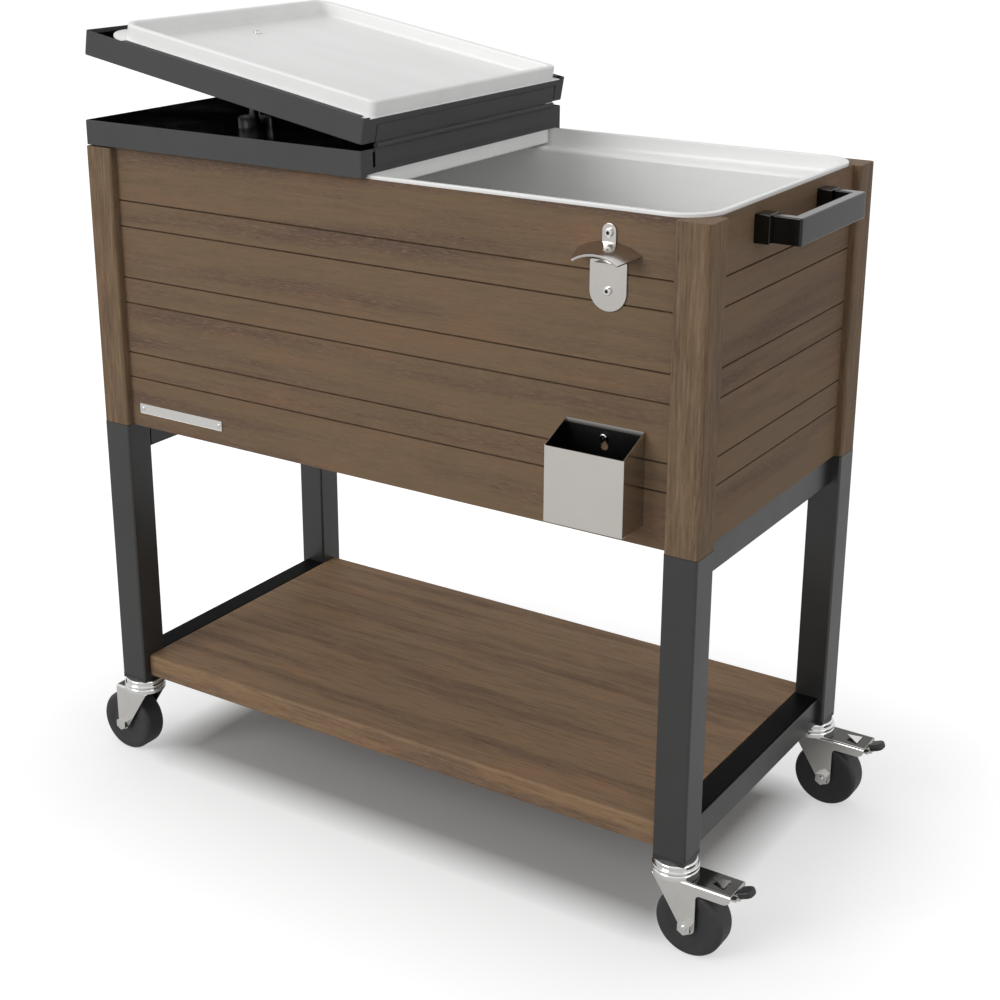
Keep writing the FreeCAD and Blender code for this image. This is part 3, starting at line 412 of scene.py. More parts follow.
def add_plate(low, high, level, start_radius, end_radius, segments=12):
    """Adds a rounded rectangle as one face, with one radius at its low end in X and one at the other."""
    middle = ((low[0] + high[0]) / 2, (low[1] + high[1]) / 2, level)
    bpy.ops.mesh.primitive_plane_add(size=1, location=middle)
    bpy.ops.transform.resize(value=(high[0] - low[0], high[1] - low[1], 1), center_override=middle)
    for end, radius in ((low[0], start_radius), (high[0], end_radius)):
        pick("VERT", lambda spot, normal: near(spot.x, end) and near(spot.z, level) and
             (near(spot.y, low[1]) or near(spot.y, high[1])))
        bpy.ops.mesh.bevel(offset=radius, segments=segments, affect="VERTICES")
    bpy.ops.mesh.select_linked()


def cut_away(piece, cutter):
    """Takes the cutter's shape out of a piece and removes the cutter."""
    cut = piece.modifiers.new("cut", "BOOLEAN")
    cut.object = cutter
    cut.operation = "DIFFERENCE"
    cut.solver = "EXACT"
    bpy.context.view_layer.objects.active = piece
    bpy.ops.object.modifier_apply(modifier=cut.name)
    bpy.data.objects.remove(cutter)
    bpy.ops.object.select_all(action="DESELECT")
    piece.select_set(True)
    bpy.ops.object.shade_smooth_by_angle(angle=math.radians(35))


def cut_for_mouth(piece):
    """Cuts a piece back round the mouth of the tub."""
    room = open_piece("mouth_room")
    grown = skin + mouth_gap
    add_plate((-mouth_x - grown, -mouth_y - grown), (mouth_x + grown, mouth_y + grown), ledge - grown,
              mouth_corner + grown, mouth_corner + grown)
    move_out((0, 0, mouth_height))
    bpy.ops.mesh.select_all(action="SELECT")
    bpy.ops.mesh.normals_make_consistent(inside=False)
    close_piece()
    cut_away(piece, room)


for number, corner in enumerate(corners):
    post = open_piece(corner + "_corner_post")
    add_block(*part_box(corner + "_post"))
    pick("EDGE", lambda middle, run: abs(run.z) > 0.9)
    bpy.ops.mesh.bevel(offset=post_rounding, segments=5, affect="EDGES")
    pick("EDGE", lambda middle, run: abs(run.z) < 0.1)
    bpy.ops.mesh.bevel(offset=post_end_rounding, segments=2, affect="EDGES")
    close_piece()
    cut_for_mouth(post)
    post_wood = wood_finish(corner + "_post_wood", 2, walnut, walnut_band, walnut_warm,
                            (number, 2 * number, number), 0.6)
    dress(post, post_wood, "cabinet", "cabinet_wood", corner + "_post")


# The four sides are boards with the grain along them, grooved to look like wide and narrow planks by
# turns. They are glued between the posts, set back from the posts' faces.
groove_half, groove_depth, board = 0.0010, 0.0018, 0.010
panel_low, panel_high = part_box("front_panel")
rows = (2, 1, 2, 1, 2, 1, 2)
row_height = (panel_high.z - panel_low.z) / sum(rows)
grooves = [panel_low.z + row_height * sum(rows[:count]) for count in range(1, len(rows))]


def planked_panel(name, half_length, face, finish):
    """A grooved board with its face towards the front, its groove walls painted darker: painted shade."""
    panel = open_piece(name)
    add_block((-half_length, -face, panel_low.z), (half_length, -face + board, panel_high.z))
    for groove in grooves:
        for height in (groove - groove_half, groove, groove + groove_half):
            bpy.ops.mesh.select_all(action="SELECT")
            bpy.ops.mesh.bisect(plane_co=(0, 0, height), plane_no=(0, 0, 1))
    pick("VERT", lambda spot, normal: near(spot.y, -face) and any(near(spot.z, groove) for groove in grooves))
    bpy.ops.transform.translate(value=(0, groove_depth, 0))
    panel.data.materials.append(finish)
    panel.data.materials.append(groove_painted_shade)
    pick("FACE", lambda middle, normal: normal.y < -0.1 and abs(normal.z) > 0.3 and
         any(abs(middle.z - groove) < groove_half for groove in grooves))
    panel.active_material_index = 1
    bpy.ops.object.material_slot_assign()
    close_piece()
    return panel


def turned(piece, matrix):
    """Moves a piece by a matrix and leaves its place in its mesh."""
    bpy.ops.object.select_all(action="DESELECT")
    piece.select_set(True)
    bpy.context.view_layer.objects.active = piece
    piece.matrix_world = matrix
    bpy.ops.object.transform_apply(location=True, rotation=True, scale=True)
    return piece


# The groove walls get a darker wood: painted shade in the grooves.
groove_painted_shade = wood_finish("groove_painted_shade", 0, tone(82, 65, 50), tone(73, 57, 46), tone(88, 67, 51),
                          (0, 0, 0), 0.2)
front_wood = wood_finish("front_panel_wood", 0, walnut, walnut_band, walnut_warm, (0.2, 0, 0.11))
side_wood = wood_finish("side_panel_wood", 1, walnut, walnut_band, walnut_warm, (3.1, 0.4, 1.7))
for side, turn, half_length, face, finish in (
        ("front", 0, panel_high.x, -panel_low.y, front_wood),
        ("rear", 180, panel_high.x, -panel_low.y, front_wood),
        ("right", 90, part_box("right_panel")[1].y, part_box("right_panel")[1].x, side_wood),
        ("left", -90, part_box("right_panel")[1].y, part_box("right_panel")[1].x, side_wood)):
    panel = planked_panel(side + "_planked_side", half_length, face, finish)
    turned(panel, Matrix.Rotation(math.radians(turn), 4, "Z"))
    cut_for_mouth(panel)
    dress(panel, finish, "cabinet", "cabinet_wood", side + "_panel")


# The cabinet's floor is a plain aluminium sheet, and the tub stands in cut boards of rigid foam. Neither
# shows from outside except the sheet from below, so their solids stay and get their finishes.
sheet_finish, shader, place = new_finish("floor_sheet_aluminium")
scratches = grain(place, 0.12, 0.0006, 0, 2)
(scratches * 0.6).blend(tone(176, 178, 180), tone(150, 152, 154)).into(shader, "Base Color")
shader.inputs["Metallic"].default_value = 1.0
(0.32 + 0.2 * scratches).into(shader, "Roughness")
bump(scratches, 0.00003).into(shader, "Normal")
use_finish(sheet_finish, "cabinet_floor")

foam_finish, shader, place = new_finish("rigid_foam")
cells = place.node("ShaderNodeTexVoronoi", {}, {"Vector": place, "Scale": 700.0})
(cells * 0.7).blend(tone(240, 226, 186), tone(222, 204, 160)).into(shader, "Base Color")
shader.inputs["Roughness"].default_value = 0.9
bump(cells, 0.0004).into(shader, "Normal")
use_finish(foam_finish, "insulation_foam", "left_lid_foam", "right_lid_foam")


# The tub is one moulding of white plastic: a narrow rim with rounded corners that lies on the cabinet's
# top edge, a wide mouth for the lid's ridge, a ledge, deep walls, a coved floor and a hole for the drain.
def plastic_finish(name, colour, shade, roughness):
    """Moulded plastic with a fine even texture and faint flow marks."""
    material, shader, place = new_finish(name)
    flow = grain(place, 0.20, 0.05, 0, 2).ramp(0.3, 0.75)
    texture = grain(place, 0.0010, 0.0010, 0, 1)
    flow.blend(colour, shade).into(shader, "Base Color")
    (roughness + 0.05 * flow + 0.05 * texture).into(shader, "Roughness")
    bump(texture, 0.00003).into(shader, "Normal")
    return material


turns = [math.radians(15 * step) for step in range(7)]


def from_wall(plate, radius, level, side):
    """Rows of a course that round a plate's walls, above (1) or below (-1) a level, onto that level."""
    return [(plate, radius * (math.cos(turn) - 1), level + side * radius * (1 - math.sin(turn)))
            for turn in turns]


def onto_wall(plate, radius, level, side):
    """Rows of a course that round a level onto a plate's walls above (1) or below (-1) it."""
    return [(plate, radius * (1 - math.sin(turn)), level + side * radius * (1 - math.cos(turn)))
            for turn in turns]


def add_course(course, closed=True):
    """Builds a skin from one rounded rectangle to the next, and closes the last. Each is a low and a high
    corner with the radii at its two ends, how far it is grown, and its level."""
    mesh = bpy.context.edit_object.data
    plates = [((low[0] - grow, low[1] - grow), (high[0] + grow, high[1] + grow), level,
               start + grow, end + grow) for (low, high, start, end), grow, level in course]
    for pair in zip(plates, plates[1:]):
        for plate in pair:
            add_plate(*plate)
            bpy.ops.mesh.delete(type="ONLY_FACE")
        for edge in bmesh.from_edit_mesh(mesh).edges:
            edge.select_set(edge.is_wire)
        bmesh.update_edit_mesh(mesh)
        bpy.ops.mesh.bridge_edge_loops()
    if closed:
        add_plate(*plates[-1])
    bpy.ops.mesh.select_all(action="SELECT")
    bpy.ops.mesh.remove_doubles(threshold=0.00001)


def face_way(test):
    """Makes a shell's faces agree, and turns them all over if any face passes the test."""
    bpy.ops.mesh.select_all(action="SELECT")
    bpy.ops.mesh.normals_make_consistent(inside=False)
    pick("FACE", test)
    if any(face.select for face in bmesh.from_edit_mesh(bpy.context.edit_object.data).faces):
        bpy.ops.mesh.select_all(action="SELECT")
        bpy.ops.mesh.flip_normals()


def add_wall(piece, thickness):
    """Gives a shell its wall, on the side that its faces turn away from."""
    wall = piece.modifiers.new("wall", "SOLIDIFY")
    wall.thickness = thickness
    wall.offset = -1
    wall.use_even_offset = True
    bpy.ops.object.modifier_apply(modifier=wall.name)


def add_rod(radius, start, end, sides=48):
    """Adds a cylinder from one point to another."""
    start, end = Vector(start), Vector(end)
    turn = (end - start).to_track_quat("Z", "Y").to_euler()
    bpy.ops.mesh.primitive_cylinder_add(vertices=sides, radius=radius, depth=(end - start).length,
                                        location=(start + end) / 2, rotation=turn)


white_plastic = plastic_finish("white_plastic", tone(243, 243, 242), tone(237, 237, 236), 0.30)
rim_low, rim_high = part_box("inner_tub")
tub_x, tub_y, tub_floor, drain_hole = 0.374, 0.1665, 0.511, 0.0123
drain_low, drain_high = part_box("drain_fitting")
drain_x, drain_y = (drain_low.x + drain_high.x) / 2, (drain_low.y + drain_high.y) / 2

rim = ((rim_low.x, rim_low.y), (rim_high.x, rim_high.y), 0.045, 0.045)
mouth = ((-mouth_x, -mouth_y), (mouth_x, mouth_y), mouth_corner, mouth_corner)
deep = ((-tub_x, -tub_y), (tub_x, tub_y), 0.045, 0.045)
rim_drop, rim_rounding, ledge_rounding, cove = 0.004, 0.0013, 0.005, 0.025
course = ([(rim, 0.0, rim_high.z - rim_drop)] + from_wall(rim, rim_rounding, rim_high.z, -1)
          + onto_wall(mouth, rim_rounding, rim_high.z, -1) + from_wall(mouth, ledge_rounding, ledge, 1)
          + onto_wall(deep, ledge_rounding, ledge, -1) + from_wall(deep, cove, tub_floor, 1))
tub = open_piece("white_tub")
add_course(course)
face_way(lambda middle, normal: near(middle.z, tub_floor) and normal.z < 0)
close_piece()
add_wall(tub, skin)
hole = open_piece("drain_hole")
add_rod(drain_hole, (drain_x, drain_y, tub_floor - 0.031), (drain_x, drain_y, tub_floor + 0.019))
close_piece()
cut_away(tub, hole)
dress(tub, white_plastic, "cabinet", "liner_white", "inner_tub")


# The drain is a moulded flange and pipe through the tub's floor, with a ribbed screw cap under the
# cabinet that is turned by hand.
flange_radius, pipe_radius, bore_radius = 0.023, 0.012, 0.009
drain = open_piece("drain_pipe")
add_rod(flange_radius, (drain_x, drain_y, tub_floor), (drain_x, drain_y, drain_high.z))
pick("FACE", lambda middle, normal: normal.z < -0.9)
bpy.ops.mesh.inset(thickness=flange_radius - pipe_radius)
move_out((0, 0, drain_low.z - tub_floor))
bpy.ops.mesh.inset(thickness=pipe_radius - bore_radius)
bpy.ops.mesh.delete(type="FACE")
pick("FACE", lambda middle, normal: normal.z > 0.9)
bpy.ops.mesh.inset(thickness=flange_radius - bore_radius)
bpy.ops.mesh.delete(type="FACE")
bpy.ops.mesh.select_mode(type="EDGE")
bpy.ops.mesh.select_all(action="DESELECT")
bpy.ops.mesh.select_non_manifold(extend=False)
bpy.ops.mesh.bridge_edge_loops()
close_piece()
soften(drain, 0.0008, 2, 50)
dress(drain, white_plastic, "cabinet", "liner_white", "drain_fitting")

cap_low, cap_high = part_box("drain_cap")
cap_ribs, cap_radius, cap_wall, cap_floor = 24, 0.017, 0.0048, 0.003
rib_edge, rib_depth = 0.0004, 0.0007
cap = open_piece("drain_screw_cap")
add_rod(cap_radius, (drain_x, drain_y, cap_low.z), (drain_x, drain_y, cap_high.z), 2 * cap_ribs)
pick("FACE", lambda middle, normal: abs(normal.z) < 0.1 and
     round(math.atan2(normal.y, normal.x) / math.radians(180 / cap_ribs) - 0.5) % 2 == 0)
bpy.ops.mesh.inset(thickness=rib_edge, use_individual=True)
bpy.ops.transform.shrink_fatten(value=-rib_depth)
pick("FACE", lambda middle, normal: normal.z > 0.9)
bpy.ops.mesh.inset(thickness=cap_wall)
move_out((0, 0, cap_floor - (cap_high.z - cap_low.z)))
close_piece()
soften(cap, 0.0006, 2, 60)
dress(cap, white_plastic, "drain_plug", "liner_white", "drain_cap")


# Each pull handle is a flat bar bent into a bow, with its ends standing in box-shaped feet that are
# screwed on from inside the cabinet. It is painted gloss black.
handle_paint = paint_finish("handle_paint", tone(14, 14, 14), tone(20, 20, 20), 0.07, 0.012, 0.40)
bow_low, bow_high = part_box("right_handle")
foot_out, foot_half, foot_border, foot_dent = 0.428, 0.012, 0.0022, 0.0015
bar_thick, bar_bury, bend_rounding = 0.012, 0.003, 0.0025
bar_inside = bow_high.x - bar_thick
bar_half = (bow_high.z - bow_low.z) / 2 - 0.001
bar_level = (bow_high.z + bow_low.z) / 2
foot_place = bow_high.y - foot_half


def add_foot(place):
    """Adds the foot at one end of the bow, hollowed a little round the bar."""
    add_block((bow_low.x, place - foot_half, bow_low.z), (foot_out, place + foot_half, bow_high.z))
    pick("FACE", lambda middle, normal: normal.x > 0.9 and near(middle.x, foot_out) and
         abs(middle.y - place) < foot_half)
    bpy.ops.mesh.inset(thickness=foot_border)
    bpy.ops.transform.translate(value=(-foot_dent, 0, 0))


for side, turn in (("right", 0), ("left", 180)):
    handle = open_piece(side + "_pull_handle")
    bar_end = foot_place + bar_thick / 2
    add_block((bar_inside, -bar_end, bar_level - bar_half), (bow_high.x, bar_end, bar_level + bar_half))
    for cut in (bar_thick - bar_end, bar_end - bar_thick):
        bpy.ops.mesh.select_all(action="SELECT")
        bpy.ops.mesh.bisect(plane_co=(0, cut, 0), plane_no=(0, 1, 0))
    pick("FACE", lambda middle, normal: normal.x < -0.9 and abs(middle.y) > bar_end - bar_thick)
    move_out((foot_out - bar_bury - bar_inside, 0, 0))
    pick("EDGE", lambda middle, run: abs(run.z) > 0.9 and near(middle.x, bow_high.x) and
         near(abs(middle.y), bar_end))
    bpy.ops.mesh.bevel(offset=bend_rounding, segments=4, affect="EDGES")
    add_foot(foot_place)
    add_foot(-foot_place)
    close_piece()
    soften(handle, 0.0012, 3, 50)
    turned(handle, Matrix.Rotation(math.radians(turn), 4, "Z"))
    dress(handle, handle_paint, "cabinet", "handle_black", side + "_handle")


# The bottle opener is one stamping of polished stainless steel: a round-topped tab, an arched hood that
# pushes the cap down, a lip that catches it, and a round-ended shield. Two screws hold it.
def steel_finish(name, colour, dull, roughness, along, scratch):
    """Stainless steel with fine brushed lines and faint smears."""
    material, shader, place = new_finish(name)
    brushed = grain(place, 0.06, 0.0004, along, 2)
    smear = grain(place, 0.03, 0.03, 0, 3).ramp(0.4, 0.75)
    (smear * 0.5).blend(colour, dull).into(shader, "Base Color")
    shader.inputs["Metallic"].default_value = 1.0
    (roughness + 0.5 * roughness * brushed + 0.06 * smear).into(shader, "Roughness")
    bump(brushed, scratch).into(shader, "Normal")
    return material


opener_steel = steel_finish("opener_steel", tone(196, 192, 188), tone(187, 183, 179), 0.09, 0, 0.000004)
opener_low, opener_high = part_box("bottle_opener")
wall_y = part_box("front_panel")[0].y
plate_front = wall_y - 0.002
opener_x = (opener_low.x + opener_high.x) / 2
opener_top = opener_high.z
hood_z = opener_top - 0.0315
hood_rear, hood_front = (0.076, 0.011), (0.054, 0.0082)
hood_depth, hood_slope, hood_lift, hood_sheet = 0.032, 0.0053, 0.002, 0.0026
tab_half, tab_screw = 0.008, opener_top - 0.0096
shield_half, shield_screw = 0.0215, tab_screw - 0.0605
shield_top = shield_screw + 0.032
lip_half, lip_reach, lip_low, lip_high = 0.013, 0.006, opener_top - 0.042, opener_top - 0.040


def add_arch(width, rise, y, level, steps=20):
    """Adds an arc that rises over its two ends."""
    half = width / 2
    radius = (half * half + rise * rise) / (2 * rise)
    middle = (opener_x, y, level + rise - radius)
    bpy.ops.mesh.primitive_plane_add(size=0.001, location=(opener_x + half, y, level))
    bpy.ops.mesh.merge(type="CENTER")
    bpy.ops.mesh.spin(steps=steps, angle=2 * math.asin(half / radius), center=middle, axis=(0, 1, 0))


def join(pieces):
    """Joins pieces to the first of them."""
    bpy.ops.object.select_all(action="DESELECT")
    for piece in pieces:
        piece.select_set(True)
    bpy.context.view_layer.objects.active = pieces[0]
    bpy.ops.object.join()
    return pieces[0]


opener = open_piece("stamped_bottle_opener")
add_block((opener_x - tab_half, plate_front, hood_z + 0.009), (opener_x + tab_half, wall_y, opener_top))
pick("EDGE", lambda middle, run: abs(run.y) > 0.9 and near(middle.z, opener_top))
bpy.ops.mesh.bevel(offset=tab_half - 0.0001, segments=10, affect="EDGES")
add_block((opener_x - shield_half, plate_front, opener_low.z), (opener_x + shield_half, wall_y, shield_top))
pick("EDGE", lambda middle, run: abs(run.y) > 0.9 and near(middle.z, opener_low.z))
bpy.ops.mesh.bevel(offset=shield_half - 0.0001, segments=16, affect="EDGES")
pick("EDGE", lambda middle, run: abs(run.y) > 0.9 and near(middle.z, shield_top))
bpy.ops.mesh.bevel(offset=0.003, segments=4, affect="EDGES")
add_block((opener_x - lip_half, plate_front - lip_reach, lip_low),
          (opener_x + lip_half, plate_front + 0.001, lip_high))
close_piece()
soften(opener, 0.0004, 2, 50)
hood = open_piece("opener_hood")
add_arch(hood_rear[0], hood_rear[1], wall_y, hood_z + hood_lift)
add_arch(hood_front[0], hood_front[1], wall_y - hood_depth, hood_z - hood_slope + hood_lift)
bpy.ops.mesh.select_all(action="SELECT")
bpy.ops.mesh.bridge_edge_loops()
bpy.ops.mesh.subdivide(number_cuts=3)
face_way(lambda middle, normal: normal.z < 0)
close_piece()
add_wall(hood, hood_sheet)
soften(hood, 0.0005, 2, 60)
join((opener, hood))
dress(opener, opener_steel, "cabinet", "brushed_steel", "bottle_opener")


# Three pan-head screws with a hexagon socket: two through the opener, and a smaller one left standing out
# that the catcher hangs on. They are bright plated steel.
screw_steel = steel_finish("bright_screw_steel", tone(214, 213, 211), tone(200, 199, 197), 0.10, 2, 0.000002)
# The faces inside each socket are near black: painted shade in the recess.
socket_painted_shade = plastic_finish("socket_painted_shade", tone(10, 10, 10), tone(20, 20, 20), 0.5)
head_radii, head_height, head_rounding = (0.0046, 0.0046, 0.004), 0.003, 0.0011
shank_radius, shank_length = 0.002, 0.010
socket_radius, socket_floor = 0.0021, plate_front - 0.0014
screw_levels = (tab_screw, shield_screw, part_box("front_screws")[0].z + head_radii[2])
screws = []
for number, (level, head) in enumerate(zip(screw_levels, head_radii)):
    screw = open_piece("front_pan_screw_%d" % number)
    add_rod(head, (opener_x, plate_front, level), (opener_x, plate_front - head_height, level), 32)
    pick("EDGE", lambda middle, run: near(middle.y, plate_front - head_height))
    bpy.ops.mesh.bevel(offset=head_rounding, segments=4, affect="EDGES")
    pick("FACE", lambda middle, normal: normal.y > 0.9)
    bpy.ops.mesh.inset(thickness=head - shank_radius)
    move_out((0, shank_length, 0))
    close_piece()
    socket = open_piece("hexagon_socket")
    add_rod(socket_radius, (opener_x, plate_front - 0.005, level), (opener_x, socket_floor, level), 6)
    close_piece()
    cut_away(screw, socket)
    screw.data.materials.append(screw_steel)
    screw.data.materials.append(socket_painted_shade)
    bpy.ops.object.mode_set(mode="EDIT")
    pick("FACE", lambda middle, normal: plate_front - 0.0029 < middle.y < plate_front - 0.0005 and
         math.hypot(middle.x - opener_x, middle.z - level) < socket_radius + 0.0001)
    screw.active_material_index = 1
    bpy.ops.object.material_slot_assign()
    close_piece()
    screws.append(screw)
front_screws = join(screws)
front_screws.name = "front_pan_screws"
dress(front_screws, screw_steel, "cabinet", "fastener_steel", "front_screws")


# The cap catcher is a box folded from thin polished steel with a front lower than its back. It is open at the
# top and hangs on its screw by a keyhole. Its inside is painted near black, a painted shade, with a painted
# reflection as a light strip along the top of the back wall.
catcher_sheet = 0.0012
catcher_low, catcher_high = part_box("cap_catcher")
catcher_front_top = catcher_low.z + 0.0855
catcher_steel = steel_finish("catcher_steel", tone(204, 200, 194), tone(196, 192, 186), 0.14, 2, 0.000003)
catcher_painted_shade, shader, place = new_finish("catcher_inside_painted_shade")
haze = grain(place, 0.02, 0.02, 0, 3)
height = place.node("ShaderNodeSeparateXYZ", {}, {"Vector": place}, "Z")
back = place.node("ShaderNodeSeparateXYZ", {}, {"Vector": place}, "Y")
# A light strip at the top of the back wall inside: a painted reflection.
painted_reflection_strip = height.ramp(catcher_high.z - 0.0055, catcher_high.z + 0.001)
painted_reflection_strip = painted_reflection_strip * back.ramp(wall_y - 0.005, wall_y - 0.003)
painted_reflection_strip.blend(haze.blend(tone(4, 4, 4), tone(11, 11, 11)), tone(176, 172, 167)).into(shader, "Base Color")
(0.25 + 0.2 * haze).into(shader, "Roughness")
shader.inputs["Specular IOR Level"].default_value = 0.2
catcher = open_piece("folded_cap_catcher")
add_block(catcher_low, catcher_high)
pick("VERT", lambda spot, normal: near(spot.y, catcher_low.y) and near(spot.z, catcher_high.z))
bpy.ops.transform.translate(value=(0, 0, catcher_front_top - catcher_high.z))
pick("EDGE", lambda middle, run: middle.z < catcher_front_top - 0.001 or abs(run.z) > 0.9)
bpy.ops.mesh.bevel(offset=catcher_sheet, segments=3, affect="EDGES")
pick("FACE", lambda middle, normal: normal.z > 0.5)
bpy.ops.mesh.delete(type="FACE")
close_piece()
add_wall(catcher, catcher_sheet)
eye_radius, slot_half, eye_level = 0.0046, 0.0022, screw_levels[2] - 0.010
before_sheet, behind_sheet = wall_y - 0.004, wall_y + 0.004
keyhole = open_piece("keyhole")
add_rod(eye_radius, (opener_x, before_sheet, eye_level), (opener_x, behind_sheet, eye_level), 32)
close_piece()
cut_away(catcher, keyhole)
slot = open_piece("keyhole_slot")
add_block((opener_x - slot_half, before_sheet, eye_level),
          (opener_x + slot_half, behind_sheet, screw_levels[2]))
close_piece()
cut_away(catcher, slot)
catcher.data.materials.append(catcher_steel)
catcher.data.materials.append(catcher_painted_shade)
bpy.ops.object.mode_set(mode="EDIT")
catcher_middle = (catcher_low + catcher_high) / 2
half_sheet = catcher_sheet / 2
pick("FACE", lambda middle, normal: catcher_low.x + half_sheet < middle.x < catcher_high.x - half_sheet and
     catcher_low.y + half_sheet < middle.y < catcher_high.y - half_sheet and
     middle.z > catcher_low.z + half_sheet and
     (catcher_middle - middle).dot(normal) > 0 and normal.z > -0.1)
catcher.active_material_index = 1
bpy.ops.object.material_slot_assign()
close_piece()
dress(catcher, catcher_steel, "catcher", "brushed_steel", "cap_catcher")


# The small plate on the lowest plank is a strip of brushed steel with a bare face. A domed rivet at each
# end holds it.
plate_steel = steel_finish("plate_steel", tone(212, 210, 206), tone(202, 200, 196), 0.22, 0, 0.000006)
plate_low, plate_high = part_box("name_plate")
plate_corner, plate_border, plate_dish = 0.0014, 0.0009, 0.0003
rivet_inset, rivet_radius, rivet_height, rivet_rounding = 0.005, 0.0024, 0.0009, 0.0008
plate = open_piece("bare_steel_plate")
add_block(plate_low, plate_high)
pick("EDGE", lambda middle, run: abs(run.y) > 0.9)
bpy.ops.mesh.bevel(offset=plate_corner, segments=4, affect="EDGES")
pick("FACE", lambda middle, normal: normal.y < -0.9)
bpy.ops.mesh.inset(thickness=plate_border)
bpy.ops.transform.translate(value=(0, plate_dish, 0))
close_piece()
soften(plate, 0.0002, 2, 50)
dress(plate, plate_steel, "cabinet", "brushed_steel", "name_plate")

rivets = []
rivet_top, rivet_z = plate_low.y - rivet_height, (plate_low.z + plate_high.z) / 2
for number, rivet_x in enumerate((plate_low.x + rivet_inset, plate_high.x - rivet_inset)):
    rivet = open_piece("plate_rivet_%d" % number)
    add_rod(rivet_radius, (rivet_x, plate_low.y + 0.0004, rivet_z), (rivet_x, rivet_top, rivet_z), 24)
    pick("EDGE", lambda middle, run: near(middle.y, rivet_top))
    bpy.ops.mesh.bevel(offset=rivet_rounding, segments=4, affect="EDGES")
    close_piece()
    rivets.append(rivet)
plate_rivets = join(rivets)
plate_rivets.name = "plate_dome_rivets"
dress(plate_rivets, screw_steel, "cabinet", "fastener_steel", "name_plate_rivets")
use_finish(screw_steel, "handle_screws")


# The lid is two halves on a hinge across the middle. Each half is a pan folded from steel sheet, with a
# glossy black top, satin skirts with a hem below, a returned edge inside and a small buffer at the hinge.
# The right half lies folded over onto the left one.
hinge = next(joint for joint in frame["joints"] if joint["name"] == "lid_hinge")
hinge_place = Matrix.Translation(hinge["pos_m"])
folded = hinge_place @ Matrix.Rotation(-math.radians(hinge["range_deg"][1]), 4, "Y") @ hinge_place.inverted()
half_turn = Matrix.Rotation(math.pi, 4, "Z")


def both_halves(name, finish, slot, node):
    """Copies the open piece of the left half, turns the copy round and folds it over for the right half."""
    left = bpy.context.object
    left.name = left.data.name = "left_" + name
    bpy.ops.object.select_all(action="DESELECT")
    left.select_set(True)
    bpy.ops.object.duplicate()
    right = bpy.context.object
    right.name = right.data.name = "right_" + name
    turned(right, folded @ half_turn)
    dress(left, finish, "left_lid", slot, "left_" + node)
    dress(right, finish, "right_lid", slot, "right_" + node)


# The lid's black satin paint is coloured mid grey here with almost no reflection: a painted sheen.
lid_paint = paint_finish("lid_satin_paint", tone(78, 78, 78), tone(84, 84, 84), 0.50, 0.0012, 0.06)
lid_inside = paint_finish("lid_inside_paint", tone(7, 7, 7), tone(11, 11, 11), 0.60, 0.0012, 0.0)
lid_gloss = paint_finish("lid_gloss_paint", tone(8, 8, 8), tone(12, 12, 12), 0.02, 0.006)
shell_low, shell_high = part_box("left_lid_shell")
lid_sheet, skirt_drop, rim_end = 0.0012, 0.0025, 0.2015
lid_corner, lid_top_rounding, hem_rounding = 0.003, 0.0015, 0.0004
hem_start, hem_out, hem_back = -0.362, 0.2110, 0.009
buffer_front, buffer_rear, buffer_proud = -0.1905, -0.1870, 0.0004
buffer_low, buffer_high = shell_high.z - 0.0205, shell_high.z - 0.0035
flange_level = shell_low.z + skirt_drop
shell = open_piece("lid_shell")
add_block(shell_low, shell_high)
pick("EDGE", lambda middle, run: abs(run.z) > 0.9)
bpy.ops.mesh.bevel(offset=lid_corner, segments=4, affect="EDGES")
pick("EDGE", lambda middle, run: near(middle.z, shell_high.z))
bpy.ops.mesh.bevel(offset=lid_top_rounding, segments=3, affect="EDGES")
pick("FACE", lambda middle, normal: normal.z < -0.9)
bpy.ops.mesh.delete(type="FACE")
close_piece()
add_wall(shell, lid_sheet)
shell.data.materials.append(lid_paint)
shell.data.materials.append(lid_gloss)
bpy.ops.object.mode_set(mode="EDIT")
pick("FACE", lambda middle, normal: normal.z > 0.99 and near(middle.z, shell_high.z))
shell.active_material_index = 1
bpy.ops.object.material_slot_assign()
close_piece()
notch = open_piece("rim_notch")
add_block((shell_high.x - 0.002, -rim_end, shell_low.z - 0.001),
          (shell_high.x + 0.001, rim_end, flange_level))
close_piece()
cut_away(shell, notch)
for front in (-1, 1):
    hem = open_piece("hem")
    add_block((hem_start, front * rim_end, shell_low.z),
              (shell_high.x - hem_back, front * hem_out, shell_low.z + lid_sheet))
    pick("EDGE", lambda middle, run: abs(run.x) > 0.9)
    bpy.ops.mesh.bevel(offset=hem_rounding, segments=2, affect="EDGES")
    close_piece()
    hem.data.materials.append(lid_paint)
    join((shell, hem))
buffer = open_piece("hinge_buffer")
add_block((shell_high.x - 0.0005, buffer_front, buffer_low),
          (shell_high.x + buffer_proud, buffer_rear, buffer_high))
pick("EDGE", lambda middle, run: near(middle.x, shell_high.x + buffer_proud))
bpy.ops.mesh.bevel(offset=0.0003, segments=2, affect="EDGES")
close_piece()
buffer.data.materials.append(lid_inside)
join((shell, buffer))
liner_edge, hinge_edge, liner_lap, liner_sheet = 0.008, 0.00145, 0.012, 0.0025
outline = ((shell_low.x, shell_low.y), (shell_high.x, shell_high.y), lid_corner, lid_corner)
opening = ((shell_low.x + liner_edge + liner_lap, shell_low.y + liner_edge + liner_lap),
           (shell_high.x - hinge_edge - liner_lap, shell_high.y - liner_edge - liner_lap), 0.040, 0.003)
returned = open_piece("returned_edge")
return_level = flange_level + liner_sheet
add_course([(outline, -0.0006, return_level), (opening, 0.0, return_level)], closed=False)
face_way(lambda middle, normal: normal.z > 0)
close_piece()
add_wall(returned, lid_sheet)
returned.data.materials.append(lid_inside)
join((shell, returned))
both_halves("folded_lid_pan", lid_paint, "lid_black", "lid_shell")


